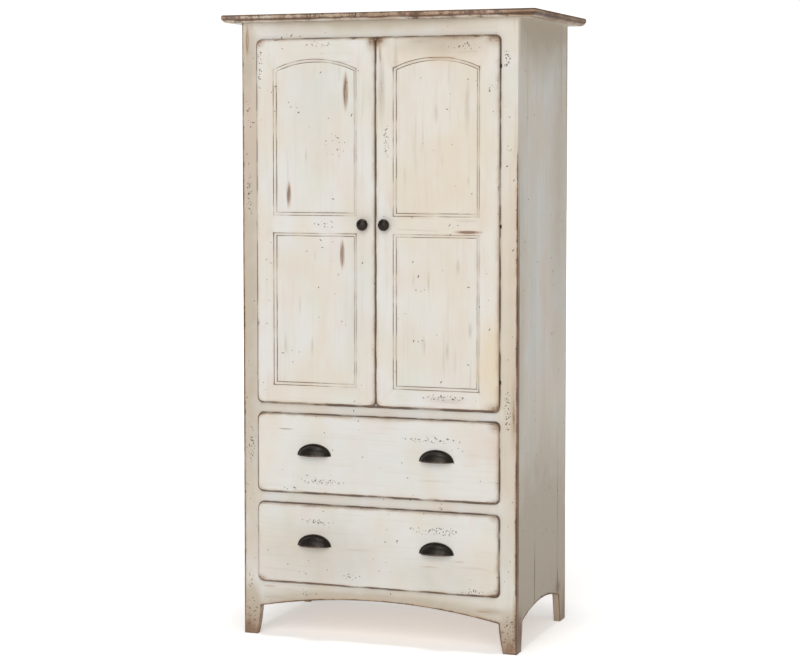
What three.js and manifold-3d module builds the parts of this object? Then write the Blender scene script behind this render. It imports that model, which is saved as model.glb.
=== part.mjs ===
// A painted two-door, two-drawer armoire, built board by board.
// Millimetres, +Z up, the front faces -Y, x = 0 is the middle of the case.
// Inside the model y = 0 is the front of the face frame; the whole group is
// shifted at the end so that the origin is the middle of the footprint.

import * as THREE from 'three';
import { mergeVertices } from 'three/addons/utils/BufferGeometryUtils.js';
import Module from 'manifold-3d';

const wasm = await Module();
wasm.setup();

// ---------------------------------------------------------------- dimensions

// Case
const caseWidth = 784;
const caseDepth = 486;
const caseHeight = 1680; // underside of the crown board
const boardThickness = 19;
const frameThickness = 19;
const backThickness = 6;
const rabbetWidth = 9;
const dadoDepth = 6;

// Clearances
const glueGap = 0.1; // between boards that are glued face to face
const looseGap = 0.3; // round a panel or shelf in its groove

// Crown board
const crownThickness = 21;
const crownSideReach = 53.5;
const crownFrontReach = 24.5;
const crownCornerRadius = 6;
const nosingHeight = 13.6;
const nosingRound = 4;
const ovoloWidth = 15;

// Feet and arches
const footHeight = 80;
const frontFootTop = 50.5;
const frontFootBottom = 37.6;
const frontFootBend = { width: 46.5, height: 30 }; // where its curved edge is drawn towards
const apronArchRise = 34.5;
const sideFootTop = 59;
const sideFootBottom = 45;
const rearFootTop = 68;
const rearFootBottom = 51;
const sideArchRise = 25;

// Doors and drawer fronts lie on the face frame
const frameReveal = 48.5; // stile left showing beside them
const frontOverlap = 12; // how far they lap the frame's openings
const frontGap = 1.6; // between their backs and the frame
const frontThickness = 18;
const frontRoundOver = 7;
const frontCornerRadius = 13;

// Doors
const doorBottom = 647;
const doorTop = 1633;
const meetingGap = 3;
const doorStileWidth = 58.5;
const stickingWidth = 8;
const stickingDepth = 6.5;
const lowerPanelBottom = 697;
const lowerPanelTop = 1111.5;
const upperPanelBottom = 1158.5;
const upperPanelApex = 1579;
const upperPanelArchRise = 27;
const panelThickness = 6;

// Drawers
const drawerFronts = {
  upper: { bottom: 403, top: 617 },
  lower: { bottom: 154, top: 370 },
};
const drawerBoxHeight = 150;
const drawerBoxLength = 451;
const drawerBoardThickness = 12;
const drawerBottomThickness = 6;
const drawerBottomInset = 10;
const drawerSideClearance = 3;
const drawerLift = 2; // box bottom above the rail under it

// Drawer runners
const runnerLedgeThickness = 18;
const runnerLedgeWidth = 14;
const runnerHeight = 40;
const runnerClearance = 0.5;

// Shelf
const shelfTop = 1145;

// Hinges
const hingeHeights = { lower: 724, middle: 1135, upper: 1554 };
const hingeLeafHeight = 50;
const hingeLeafThickness = 1.2;
const hingeDoorLeafWidth = 40;
const hingeWingDepth = 15;
const barrelRadius = 2.2;
const barrelOffset = 2.9; // axis outside the door's edge
const barrelFromDoorBack = 1.7; // axis in front of the door's back
const barrelClearance = 0.5; // between the barrel and the frame leaf's plate
const doorLeafDepth = 0.4; // how far the door leaf lies below the door's back
const barrelLength = 9.6;
const barrelMiddleLength = 4.4;
const pinRadius = 1.2;
const pinBoreRadius = 1.5;

// Knobs
const knobRadius = 16;
const knobReach = 26;
const knobHeight = 1136;
const knobFromMeetingEdge = 29;

// Cup pulls
const pullWidth = 98;
const pullHeight = 33;
const pullReach = 25;
const pullFlangeWidth = 4.5;
const pullWall = 2;
const pullSpacing = 350;
const pullAboveFrontBottom = { upper: 104, lower: 105 };

// ------------------------------------------------------------ derived places

const halfCase = caseWidth / 2;
const sideInner = halfCase - boardThickness;
const stileWidth = frameReveal + frontOverlap;
const openingHalf = halfCase - stileWidth;
const frontBack = -frontGap; // y of the backs of doors and drawer fronts
const frontFace = frontBack - frontThickness; // y of their front faces
const frontHalf = halfCase - frameReveal;
const backFront = caseDepth - backThickness - looseGap; // y of the back panel's inner face
const panelFront = frontFace + stickingDepth;

// ----------------------------------------------------------------- materials

function paint(color, roughness) {
  return new THREE.MeshStandardMaterial({ color, roughness, metalness: 0 });
}

const creamPaint = paint(0xded6c8, 0.55);
const rawWood = paint(0xc9a878, 0.65);
const plywood = paint(0xb99a6c, 0.7);
const oilRubbedBronze = new THREE.MeshStandardMaterial({ color: 0x1c1614, roughness: 0.38, metalness: 0.85 });
const agedBrass = new THREE.MeshStandardMaterial({ color: 0x4a3a26, roughness: 0.45, metalness: 0.9 });

// ----------------------------------------------------------- geometry helpers

function box(x0, x1, y0, y1, z0, z1) {
  const geometry = new THREE.BoxGeometry(x1 - x0, y1 - y0, z1 - z0);
  return geometry.translate((x0 + x1) / 2, (y0 + y1) / 2, (z0 + z1) / 2);
}

// A shape drawn in (x, z), given thickness from y0 back to y1.
function boardFacingFront(shape, y0, y1, curveSegments = 16) {
  const geometry = new THREE.ExtrudeGeometry(shape, { depth: y1 - y0, bevelEnabled: false, curveSegments });
  return geometry.rotateX(Math.PI / 2).translate(0, y1, 0);
}

// A shape drawn in (y, z), given thickness from x0 to x1.
function boardFacingSide(shape, x0, x1, curveSegments = 16) {
  const geometry = new THREE.ExtrudeGeometry(shape, { depth: x1 - x0, bevelEnabled: false, curveSegments });
  const axes = new THREE.Matrix4().makeBasis(
    new THREE.Vector3(0, 1, 0),
    new THREE.Vector3(0, 0, 1),
    new THREE.Vector3(1, 0, 0),
  );
  return geometry.applyMatrix4(axes).translate(x0, 0, 0);
}

// A closed skin through rings of points, each ring with the same number of points and
// each outline convex enough to be capped by a fan. Faces point out when a ring runs
// anticlockwise seen from the side that the last ring faces.
function loft(rings) {
  const count = rings[0].length;
  const positions = rings.flat().flatMap((point) => [point.x, point.y, point.z]);
  const index = [];
  for (let level = 0; level < rings.length - 1; level += 1) {
    for (let i = 0; i < count; i += 1) {
      const j = (i + 1) % count;
      const low = level * count;
      const high = low + count;
      index.push(low + i, low + j, high + j);
      index.push(low + i, high + j, high + i);
    }
  }
  const last = (rings.length - 1) * count;
  for (let i = 1; i < count - 1; i += 1) {
    index.push(0, i + 1, i);
    index.push(last, last + i, last + i + 1);
  }
  const geometry = new THREE.BufferGeometry();
  geometry.setAttribute('position', new THREE.Float32BufferAttribute(positions, 3));
  geometry.setIndex(index);
  return geometry;
}

// The other side's copy of a piece.
function mirrored(geometry) {
  const copy = geometry.index ? geometry.toNonIndexed() : geometry.clone();
  copy.scale(-1, 1, 1);
  const position = copy.getAttribute('position');
  const second = new THREE.Vector3();
  const third = new THREE.Vector3();
  for (let i = 0; i < position.count; i += 3) {
    second.fromBufferAttribute(position, i + 1);
    third.fromBufferAttribute(position, i + 2);
    position.setXYZ(i + 1, third.x, third.y, third.z);
    position.setXYZ(i + 2, second.x, second.y, second.z);
  }
  return copy;
}

function toSolid(geometry) {
  const bare = geometry.clone();
  bare.deleteAttribute('normal');
  bare.deleteAttribute('uv');
  const merged = mergeVertices(bare, 1e-4);
  return new wasm.Manifold(new wasm.Mesh({
    numProp: 3,
    vertProperties: new Float32Array(merged.getAttribute('position').array),
    triVerts: new Uint32Array(merged.index.array),
  }));
}

function toGeometry(solid) {
  const mesh = solid.getMesh();
  const geometry = new THREE.BufferGeometry();
  geometry.setAttribute('position', new THREE.BufferAttribute(new Float32Array(mesh.vertProperties), 3));
  geometry.setIndex(new THREE.BufferAttribute(new Uint32Array(mesh.triVerts), 1));
  return geometry;
}

function cut(geometry, ...tools) {
  return toGeometry(tools.reduce((solid, tool) => solid.subtract(toSolid(tool)), toSolid(geometry)));
}

function join(geometry, ...others) {
  return toGeometry(others.reduce((solid, other) => solid.add(toSolid(other)), toSolid(geometry)));
}

function common(geometry, other) {
  return toGeometry(toSolid(geometry).intersect(toSolid(other)));
}

function addPiece(group, name, geometry, material) {
  const mesh = new THREE.Mesh(geometry, material);
  mesh.name = name;
  group.add(mesh);
}

// ---------------------------------------------------------------- face frame

function frameStileLeft() {
  const shape = new THREE.Shape();
  shape.moveTo(-halfCase, 0);
  shape.lineTo(-halfCase + frontFootBottom, 0);
  const bendX = -halfCase + frontFootBend.width;
  shape.quadraticCurveTo(bendX, frontFootBend.height, -halfCase + frontFootTop, footHeight);
  shape.lineTo(-openingHalf, apronArchHeight(-openingHalf));
  shape.lineTo(-openingHalf, caseHeight - glueGap);
  shape.lineTo(-halfCase, caseHeight - glueGap);
  shape.closePath();
  return boardFacingFront(shape, 0, frameThickness, 6);
}

function apronArchRadius() {
  const halfSpan = halfCase - frontFootTop;
  return (halfSpan ** 2 + apronArchRise ** 2) / (2 * apronArchRise);
}

function apronArchHeight(x) {
  const radius = apronArchRadius();
  return footHeight + apronArchRise - radius + Math.sqrt(radius ** 2 - x ** 2);
}

function apron() {
  const radius = apronArchRadius();
  const half = openingHalf - glueGap;
  const centreHeight = footHeight + apronArchRise - radius;
  const start = Math.asin(half / radius);
  const top = drawerFronts.lower.bottom + frontOverlap;
  const shape = new THREE.Shape();
  shape.moveTo(half, top);
  shape.lineTo(-half, top);
  shape.lineTo(-half, apronArchHeight(half));
  shape.absarc(0, centreHeight, radius, Math.PI / 2 + start, Math.PI / 2 - start, true);
  shape.closePath();
  return boardFacingFront(shape, 0, frameThickness, 14);
}

function frameRail(bottom, top) {
  const half = openingHalf - glueGap;
  return box(-half, half, 0, frameThickness, bottom, top);
}

function addFaceFrame(group) {
  const stile = frameStileLeft();
  addPiece(group, 'face_frame_stile_left', stile, creamPaint);
  addPiece(group, 'face_frame_stile_right', mirrored(stile), creamPaint);
  const { upper, lower } = drawerFronts;
  const rails = {
    face_frame_rail_top: [doorTop - frontOverlap, caseHeight - glueGap],
    face_frame_rail_middle: [upper.top - frontOverlap, doorBottom + frontOverlap],
    face_frame_rail_lower: [lower.top - frontOverlap, upper.bottom + frontOverlap],
  };
  for (const [name, [bottom, top]] of Object.entries(rails)) {
    addPiece(group, name, frameRail(bottom, top), creamPaint);
  }
  addPiece(group, 'arched_apron', apron(), creamPaint);
}

// --------------------------------------------------------------------- case

const deckFront = frameThickness + glueGap;
const runnerLedgeTop = {
  upper: drawerFronts.upper.bottom + frontOverlap + drawerLift - runnerClearance,
  lower: drawerFronts.lower.bottom + frontOverlap + drawerLift - runnerClearance,
};
const decks = {
  bottom_deck: runnerLedgeTop.lower - runnerLedgeThickness - glueGap,
  cabinet_floor: doorBottom + frontOverlap,
  fixed_shelf: shelfTop,
};
const backBottom = decks.bottom_deck - boardThickness;

function sidePanelLeft() {
  const archStart = sideFootTop;
  const archEnd = caseDepth - rearFootTop;
  const halfSpan = (archEnd - archStart) / 2;
  const radius = (halfSpan ** 2 + sideArchRise ** 2) / (2 * sideArchRise);
  const middle = (archStart + archEnd) / 2;
  const start = Math.asin(halfSpan / radius);
  const shape = new THREE.Shape();
  shape.moveTo(deckFront, caseHeight - glueGap);
  shape.lineTo(deckFront, 0);
  shape.lineTo(sideFootBottom, 0);
  shape.lineTo(archStart, footHeight);
  const centreHeight = footHeight + sideArchRise - radius;
  shape.absarc(middle, centreHeight, radius, Math.PI / 2 + start, Math.PI / 2 - start, true);
  shape.lineTo(caseDepth - rearFootBottom, 0);
  shape.lineTo(caseDepth, 0);
  shape.lineTo(caseDepth, caseHeight - glueGap);
  shape.closePath();
  const board = boardFacingSide(shape, -halfCase, -sideInner, 14);
  const dados = Object.values(decks).map((top) => box(
    -sideInner - dadoDepth,
    -sideInner + 1,
    deckFront - 1,
    backFront,
    top - boardThickness - looseGap / 2,
    top + looseGap / 2,
  ));
  const rabbet = box(
    -sideInner - rabbetWidth,
    -sideInner + 1,
    backFront - looseGap,
    caseDepth + 1,
    backBottom - looseGap,
    caseHeight + 1,
  );
  return cut(board, rabbet, ...dados);
}

function deck(top) {
  const half = sideInner + dadoDepth - looseGap;
  const rear = backFront - looseGap;
  return box(-half, half, deckFront + glueGap, rear, top - boardThickness, top);
}

function backPanel() {
  const half = sideInner + rabbetWidth - looseGap;
  return box(-half, half, backFront, caseDepth - looseGap, backBottom, caseHeight - glueGap);
}

// A wooden L: the ledge carries the drawer side, the upright guides it.
function drawerRunner(ledgeTop) {
  const guideFace = -(openingHalf - drawerSideClearance) - runnerClearance;
  const ledgeEnd = guideFace + runnerLedgeWidth;
  const bottom = ledgeTop - runnerLedgeThickness;
  const shape = new THREE.Shape();
  shape.moveTo(-sideInner + glueGap, bottom);
  shape.lineTo(ledgeEnd, bottom);
  shape.lineTo(ledgeEnd, ledgeTop);
  shape.lineTo(guideFace, ledgeTop);
  shape.lineTo(guideFace, bottom + runnerHeight);
  shape.lineTo(-sideInner + glueGap, bottom + runnerHeight);
  shape.closePath();
  return boardFacingFront(shape, deckFront, backFront - looseGap);
}

function addCase(group) {
  const side = sidePanelLeft();
  addPiece(group, 'side_panel_left', side, creamPaint);
  addPiece(group, 'side_panel_right', mirrored(side), creamPaint);
  for (const [name, top] of Object.entries(decks)) {
    addPiece(group, name, deck(top), rawWood);
  }
  addPiece(group, 'back_panel', backPanel(), plywood);
  for (const level of ['upper', 'lower']) {
    const runner = drawerRunner(runnerLedgeTop[level]);
    addPiece(group, `${level}_drawer_runner_left`, runner, rawWood);
    addPiece(group, `${level}_drawer_runner_right`, mirrored(runner), rawWood);
  }
}

// -------------------------------------------------------------------- crown

// The crown's outline in plan at one height, drawn in from its widest by the inset.
// The rear edge is flush with the back of the case and isn't moulded.
function crownRing(inset, z) {
  const halfWidth = halfCase + crownSideReach - inset;
  const front = -crownFrontReach + inset;
  const radius = Math.max(crownCornerRadius - inset, 1);
  const steps = 4;
  const ring = [];
  for (const side of [-1, 1]) {
    for (let i = 0; i <= steps; i += 1) {
      const turn = (Math.PI / 2) * (side < 0 ? i / steps : 1 - i / steps);
      const x = side * (halfWidth - radius + radius * Math.cos(turn));
      const y = front + radius - radius * Math.sin(turn);
      ring.push(new THREE.Vector3(x, y, z));
    }
  }
  ring.push(new THREE.Vector3(halfWidth, caseDepth, z));
  ring.push(new THREE.Vector3(-halfWidth, caseDepth, z));
  return ring;
}

function crownBoard() {
  const rings = [];
  const ovoloHeight = crownThickness - nosingHeight;
  const ovoloSteps = 4;
  for (let i = 0; i <= ovoloSteps; i += 1) {
    const turn = (Math.PI / 2) * (i / ovoloSteps);
    const inset = nosingRound + 0.2 + ovoloWidth * (1 - Math.sin(turn));
    rings.push(crownRing(inset, caseHeight + ovoloHeight * (1 - Math.cos(turn))));
  }
  const nosingMiddle = caseHeight + ovoloHeight + nosingHeight / 2;
  const nosingSteps = 8;
  for (let i = 1; i <= nosingSteps; i += 1) {
    const turn = Math.PI * (i / nosingSteps - 0.5);
    const inset = nosingRound * (1 - Math.cos(turn));
    rings.push(crownRing(inset, nosingMiddle + (nosingHeight / 2) * Math.sin(turn)));
  }
  return loft(rings);
}

// -------------------------------------------------- doors and drawer fronts

// A rectangle with round corners in (x, z) at depth y, drawn in by the inset.
function frontRing(left, right, bottom, top, inset, y) {
  const radius = Math.max(frontCornerRadius - inset, 2);
  const steps = 4;
  const corners = [
    { x: right - inset - radius, z: bottom + inset + radius, turn: -0.5 },
    { x: right - inset - radius, z: top - inset - radius, turn: 0 },
    { x: left + inset + radius, z: top - inset - radius, turn: 0.5 },
    { x: left + inset + radius, z: bottom + inset + radius, turn: 1 },
  ];
  const ring = [];
  for (const corner of corners) {
    for (let i = 0; i <= steps; i += 1) {
      const angle = Math.PI * (corner.turn + (0.5 * i) / steps);
      const x = corner.x + radius * Math.cos(angle);
      ring.push(new THREE.Vector3(x, y, corner.z + radius * Math.sin(angle)));
    }
  }
  return ring;
}

// The outside shape of a door or drawer front: round corners and a rounded-over front edge.
function roundedFront(left, right, bottom, top) {
  const rings = [frontRing(left, right, bottom, top, 0, frontBack)];
  const steps = 4;
  for (let i = 0; i <= steps; i += 1) {
    const turn = (Math.PI / 2) * (i / steps);
    const inset = frontRoundOver * (1 - Math.cos(turn));
    const y = frontFace + frontRoundOver * (1 - Math.sin(turn));
    rings.push(frontRing(left, right, bottom, top, inset, y));
  }
  return loft(rings);
}

// A panel opening's outline in (x, z) at depth y, drawn in by the inset; a rise above
// zero arches its top.
function panelRing(panel, inset, y) {
  const left = panel.left + inset;
  const right = panel.right - inset;
  const ring = [
    new THREE.Vector3(left, y, panel.bottom + inset),
    new THREE.Vector3(right, y, panel.bottom + inset),
  ];
  if (!panel.rise) {
    ring.push(new THREE.Vector3(right, y, panel.top - inset), new THREE.Vector3(left, y, panel.top - inset));
    return ring;
  }
  const middle = (panel.left + panel.right) / 2;
  const halfSpan = (panel.right - panel.left) / 2;
  const fullRadius = (halfSpan ** 2 + panel.rise ** 2) / (2 * panel.rise);
  const centreHeight = panel.top - fullRadius;
  const radius = fullRadius - inset;
  const start = Math.asin((halfSpan - inset) / radius);
  const steps = 12;
  for (let i = 0; i <= steps; i += 1) {
    const angle = start * (1 - (2 * i) / steps);
    const x = middle + radius * Math.sin(angle);
    ring.push(new THREE.Vector3(x, y, centreHeight + radius * Math.cos(angle)));
  }
  return ring;
}

const leftDoor = { left: -frontHalf, right: -meetingGap / 2 };
const panelSides = {
  left: leftDoor.left + doorStileWidth - stickingWidth,
  right: leftDoor.right - doorStileWidth + stickingWidth,
};
const doorPanels = {
  upper_panel: { ...panelSides, bottom: upperPanelBottom, top: upperPanelApex, rise: upperPanelArchRise },
  lower_panel: { ...panelSides, bottom: lowerPanelBottom, top: lowerPanelTop, rise: 0 },
};

// The space in front of a panel with its sloping moulded edge, and straight through behind.
function panelOpening(panel) {
  return loft([
    panelRing(panel, stickingWidth, frontBack + 1),
    panelRing(panel, stickingWidth, panelFront),
    panelRing(panel, 0, frontFace),
    panelRing(panel, 0, frontFace - 1),
  ]);
}

function panelGroove(panel) {
  return loft([
    panelRing(panel, 0, panelFront + panelThickness + looseGap / 2),
    panelRing(panel, 0, panelFront - looseGap / 2),
  ]);
}

function flatPanel(panel) {
  return loft([
    panelRing(panel, looseGap, panelFront + panelThickness),
    panelRing(panel, looseGap, panelFront),
  ]);
}

function leftDoorPieces() {
  const { left, right } = leftDoor;
  const railLeft = left + doorStileWidth + glueGap;
  const railRight = right - doorStileWidth - glueGap;
  const upperSpring = panelRing(doorPanels.upper_panel, stickingWidth, 0)[2].z;
  const boards = {
    hinge_stile: [left, left + doorStileWidth, doorBottom, doorTop],
    meeting_stile: [right - doorStileWidth, right, doorBottom, doorTop],
    bottom_rail: [railLeft, railRight, doorBottom, lowerPanelBottom + stickingWidth],
    middle_rail: [railLeft, railRight, lowerPanelTop - stickingWidth, upperPanelBottom + stickingWidth],
    top_rail: [railLeft, railRight, upperSpring, doorTop],
  };
  const outside = roundedFront(left, right, doorBottom, doorTop);
  const tools = Object.values(doorPanels).flatMap((panel) => [panelOpening(panel), panelGroove(panel)]);
  const pieces = {};
  for (const [name, [x0, x1, z0, z1]] of Object.entries(boards)) {
    const board = box(x0, x1, frontFace - 1, frontBack + 1, z0 - 0.01, z1 + 0.01);
    pieces[name] = cut(common(board, outside), ...tools);
  }
  const pockets = Object.values(hingeHeights).map((height) => hingePocket(height));
  pieces.hinge_stile = cut(pieces.hinge_stile, ...pockets);
  for (const [name, panel] of Object.entries(doorPanels)) {
    pieces[name] = flatPanel(panel);
  }
  return pieces;
}

function addDoors(group) {
  for (const [name, geometry] of Object.entries(leftDoorPieces())) {
    addPiece(group, `left_door_${name}`, geometry, creamPaint);
    addPiece(group, `right_door_${name}`, mirrored(geometry), creamPaint);
  }
  const knobX = meetingGap / 2 + knobFromMeetingEdge;
  addPiece(group, 'left_door_knob', knob(-knobX), oilRubbedBronze);
  addPiece(group, 'right_door_knob', knob(knobX), oilRubbedBronze);
}

// ------------------------------------------------------------------ drawers

function drawerSide(bottom) {
  const outer = -(openingHalf - drawerSideClearance);
  const board = box(
    outer,
    outer + drawerBoardThickness,
    frontBack + glueGap,
    frontBack + drawerBoxLength,
    bottom,
    bottom + drawerBoxHeight,
  );
  return cut(board, drawerBottomGroove(bottom));
}

function drawerBottomHalfWidth() {
  return openingHalf - drawerSideClearance - drawerBoardThickness / 2;
}

function drawerBottomGroove(bottom) {
  const half = drawerBottomHalfWidth() + looseGap;
  const low = bottom + drawerBottomInset - looseGap;
  const high = bottom + drawerBottomInset + drawerBottomThickness + looseGap;
  return box(-half, half, frontBack - 1, frontBack + drawerBoxLength + 1, low, high);
}

function drawerBottom(bottom) {
  const half = drawerBottomHalfWidth();
  const low = bottom + drawerBottomInset;
  const rear = frontBack + drawerBoxLength - glueGap;
  return box(-half, half, frontBack + looseGap, rear, low, low + drawerBottomThickness);
}

// The back stands on the bottom panel, which is slid in under it.
function drawerBack(bottom) {
  const half = openingHalf - drawerSideClearance - drawerBoardThickness - glueGap;
  const rear = frontBack + drawerBoxLength;
  const low = bottom + drawerBottomInset + drawerBottomThickness + glueGap;
  return box(-half, half, rear - drawerBoardThickness, rear, low, bottom + drawerBoxHeight);
}

function addDrawer(group, level) {
  const { bottom, top } = drawerFronts[level];
  const boxBottom = bottom + frontOverlap + drawerLift;
  addPiece(group, `${level}_drawer_front`, roundedFront(-frontHalf, frontHalf, bottom, top), creamPaint);
  const side = drawerSide(boxBottom);
  addPiece(group, `${level}_drawer_side_left`, side, rawWood);
  addPiece(group, `${level}_drawer_side_right`, mirrored(side), rawWood);
  addPiece(group, `${level}_drawer_back`, drawerBack(boxBottom), rawWood);
  addPiece(group, `${level}_drawer_bottom`, drawerBottom(boxBottom), plywood);
  const pull = cupPull();
  const pullBottom = bottom + pullAboveFrontBottom[level];
  for (const [hand, sign] of [['left', -1], ['right', 1]]) {
    const placed = pull.clone().translate((sign * pullSpacing) / 2, frontFace - glueGap, pullBottom);
    addPiece(group, `${level}_drawer_pull_${hand}`, placed, oilRubbedBronze);
  }
}

// ------------------------------------------------------------------- hinges

const barrelX = leftDoor.left - barrelOffset;
const barrelY = frontBack - barrelFromDoorBack;
const frameLeafY = [-glueGap - hingeLeafThickness, -glueGap];
const doorLeafY = [frontBack - doorLeafDepth - hingeLeafThickness, frontBack - doorLeafDepth];

function hingePocket(height) {
  const half = hingeLeafHeight / 2 + looseGap;
  const inner = leftDoor.left + hingeDoorLeafWidth + looseGap;
  const depth = doorLeafY[0] - looseGap;
  return box(leftDoor.left - 1, inner, depth, frontBack + 1, height - half, height + half);
}

function upright(radius, low, high, segments) {
  const geometry = new THREE.CylinderGeometry(radius, radius, high - low, segments);
  return geometry.rotateX(Math.PI / 2).translate(barrelX, barrelY, (low + high) / 2);
}

// The frame leaf carries the pin: it lies behind the door and wraps into the opening.
function frameLeaf(height) {
  const halfLeaf = hingeLeafHeight / 2;
  const halfBarrel = barrelLength / 2;
  const halfMiddle = barrelMiddleLength / 2 + looseGap;
  const wingX = -openingHalf + glueGap;
  const plateLeft = barrelX + barrelRadius + barrelClearance;
  const wingRight = wingX + hingeLeafThickness;
  const plate = box(plateLeft, wingRight, ...frameLeafY, height - halfLeaf, height + halfLeaf);
  const wing = box(wingX, wingRight, frameLeafY[0], hingeWingDepth, height - halfLeaf, height + halfLeaf);
  const pin = upright(pinRadius, height - halfMiddle - 1, height + halfMiddle + 1, 12);
  const knuckles = [-1, 1].flatMap((end) => {
    const [low, high] = [end * halfMiddle, end * halfBarrel].sort((a, b) => a - b);
    return [
      upright(barrelRadius, height + low, height + high, 16),
      box(barrelX, plateLeft + 1, ...frameLeafY, height + low, height + high),
    ];
  });
  return join(plate, wing, pin, ...knuckles);
}

// The door leaf is let into the back of the door and turns on the pin.
function doorLeaf(height) {
  const halfLeaf = hingeLeafHeight / 2;
  const halfMiddle = barrelMiddleLength / 2;
  const plateLeft = leftDoor.left + 2;
  const plateRight = leftDoor.left + hingeDoorLeafWidth;
  const plate = box(plateLeft, plateRight, ...doorLeafY, height - halfLeaf, height + halfLeaf);
  const neck = box(barrelX, plateLeft + 1, ...doorLeafY, height - halfMiddle, height + halfMiddle);
  const knuckle = upright(barrelRadius, height - halfMiddle, height + halfMiddle, 16);
  const bore = upright(pinBoreRadius, height - halfMiddle - 1, height + halfMiddle + 1, 12);
  return cut(join(plate, neck, knuckle), bore);
}

function addHinges(group) {
  for (const [level, height] of Object.entries(hingeHeights)) {
    const frame = frameLeaf(height);
    const door = doorLeaf(height);
    addPiece(group, `left_${level}_hinge_frame_leaf`, frame, agedBrass);
    addPiece(group, `left_${level}_hinge_door_leaf`, door, agedBrass);
    addPiece(group, `right_${level}_hinge_frame_leaf`, mirrored(frame), agedBrass);
    addPiece(group, `right_${level}_hinge_door_leaf`, mirrored(door), agedBrass);
  }
}

// ----------------------------------------------------------- knobs and pulls

// A mushroom knob: a foot on the door, a waist, a rim and a low dome.
function knob(x) {
  const profile = [
    [0, 0],
    [9, 0],
    [9, 2],
    [6.5, 5],
    [6.5, 8.5],
    [11, 11],
    [knobRadius - 0.7, 12.4],
    [knobRadius, 14],
    [knobRadius - 0.6, 16.4],
    [13.2, 19.8],
    [9.4, 23],
    [5, 25.2],
    [0, knobReach],
  ].map(([radius, reach]) => new THREE.Vector2(radius, reach));
  const geometry = new THREE.LatheGeometry(profile, 20);
  return geometry.rotateX(Math.PI).translate(x, frontFace - glueGap, knobHeight);
}

// A half-dome cup open below and behind, with a flat flange that lies on the drawer front.
function cupPull() {
  const dome = (shrink) => {
    const sphere = new THREE.SphereGeometry(1, 24, 12);
    const halfWidth = pullWidth / 2 - pullFlangeWidth - shrink;
    return sphere.scale(halfWidth, pullReach - shrink, pullHeight - pullFlangeWidth - shrink);
  };
  const flange = new THREE.CylinderGeometry(1, 1, pullWall, 28);
  flange.scale(pullWidth / 2, 1, pullHeight).translate(0, -pullWall / 2, 0);
  const behind = box(-pullWidth, pullWidth, 0, pullReach * 2, -pullHeight * 2, pullHeight * 2);
  const below = box(-pullWidth, pullWidth, -pullReach * 2, pullReach, -pullHeight * 2, 0);
  return cut(join(dome(0), flange), dome(pullWall), behind, below);
}

// ---------------------------------------------------------------- assembly

const armoire = new THREE.Group();
addFaceFrame(armoire);
addCase(armoire);
addPiece(armoire, 'crown_board', crownBoard(), creamPaint);
addDoors(armoire);
addHinges(armoire);
addDrawer(armoire, 'upper');
addDrawer(armoire, 'lower');

const foremost = frontFace - glueGap - knobReach;
armoire.position.y = -(foremost + caseDepth) / 2;

export default armoire;
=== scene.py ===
"""Looks of the painted armoire: two arched doors over two drawers, in a rubbed cream paint.

Every length is in millimetres until a mesh is made. The frame is the CAD frame: x to the
right, y to the back, z up.
"""

import math

import bmesh
import bpy
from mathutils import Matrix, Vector, noise


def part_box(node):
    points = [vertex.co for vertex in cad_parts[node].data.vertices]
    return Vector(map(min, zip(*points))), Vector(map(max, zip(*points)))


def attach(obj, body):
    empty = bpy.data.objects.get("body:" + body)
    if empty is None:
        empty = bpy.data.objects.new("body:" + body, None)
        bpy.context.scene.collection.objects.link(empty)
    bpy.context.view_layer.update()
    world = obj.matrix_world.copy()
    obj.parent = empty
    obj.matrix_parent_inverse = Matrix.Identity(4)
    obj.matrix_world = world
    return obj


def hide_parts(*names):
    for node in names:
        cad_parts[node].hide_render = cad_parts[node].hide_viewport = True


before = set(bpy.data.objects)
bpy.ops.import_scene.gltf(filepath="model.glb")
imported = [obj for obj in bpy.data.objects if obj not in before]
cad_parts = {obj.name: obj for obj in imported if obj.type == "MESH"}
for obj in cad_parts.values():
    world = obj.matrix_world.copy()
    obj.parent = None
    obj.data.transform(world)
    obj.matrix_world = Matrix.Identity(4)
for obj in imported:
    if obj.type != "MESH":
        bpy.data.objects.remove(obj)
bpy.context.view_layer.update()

MM = 0.001

# Details that the CAD boxes don't give.
STICKING_WIDTH = 8
PANEL_DEPTH = 6.5  # of a panel's face below the door's face
PANEL_THICKNESS = 6
PANEL_GAP = 0.3
DOOR_THICKNESS = 18
FRONT_ROUND = 7
FRONT_CORNER = 13
ARCH_RISE = 27
FRONT_FOOT = {"top": 50.5, "bottom": 37.6, "bend": (46.5, 30)}
FOOT_HEIGHT = 80
APRON_RISE = 34.5
SIDE_FOOT = {"front_top": 59, "front_bottom": 45, "rear_top": 68, "rear_bottom": 51}
SIDE_RISE = 25
SIDE_SEAMS = (88, 171, 400)  # behind the face frame's front: joints between the side boards
ARRIS = 2.2
CORNER_GLAZE_AND_SHADE = {"round": 0.9, "stick": 0.2}  # more glaze stays in an outline's corners, and on the fronts' rounded corners it is also painted shade
WORN_AWAY = 0.65  # an edge more worn than this has also lost some of its wood
SHARP_ANGLE = 34  # degrees, between faces that meet in a crisp edge
SHARP_ANGLE_METAL = 50  # the same, on knobs and pulls
WELD = 2e-6  # metres: points closer than this are one
RAIL_GAP = 0.02  # between a frame rail's end and its stile
CLEAR_OF_SEAM = 4  # a side's lower edge has no points nearer than this to a seam

# The camera: a long lens a little above the middle of the case and to its right.
LENS = 96.66
LENS_SHIFT = (0.03035, -0.06)
EYE = (1989.7, -5610.9, 1339.0)
TILT_DOWN, ROLL, SWING = 3.6485, 0.049, 20.2938  # degrees

# The light: a broad sun in front, a weaker one above, and a little from all round.
KEY_SIDE, KEY_HEIGHT, KEY_SPREAD = 12, 26, 50  # degrees
ABOVE_HEIGHT, ABOVE_SPREAD = 87, 10
KEY_STRENGTH = 1.79
ABOVE_STRENGTH = 0.9
AMBIENT = 0.161
BACKDROP = 1.1
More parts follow.
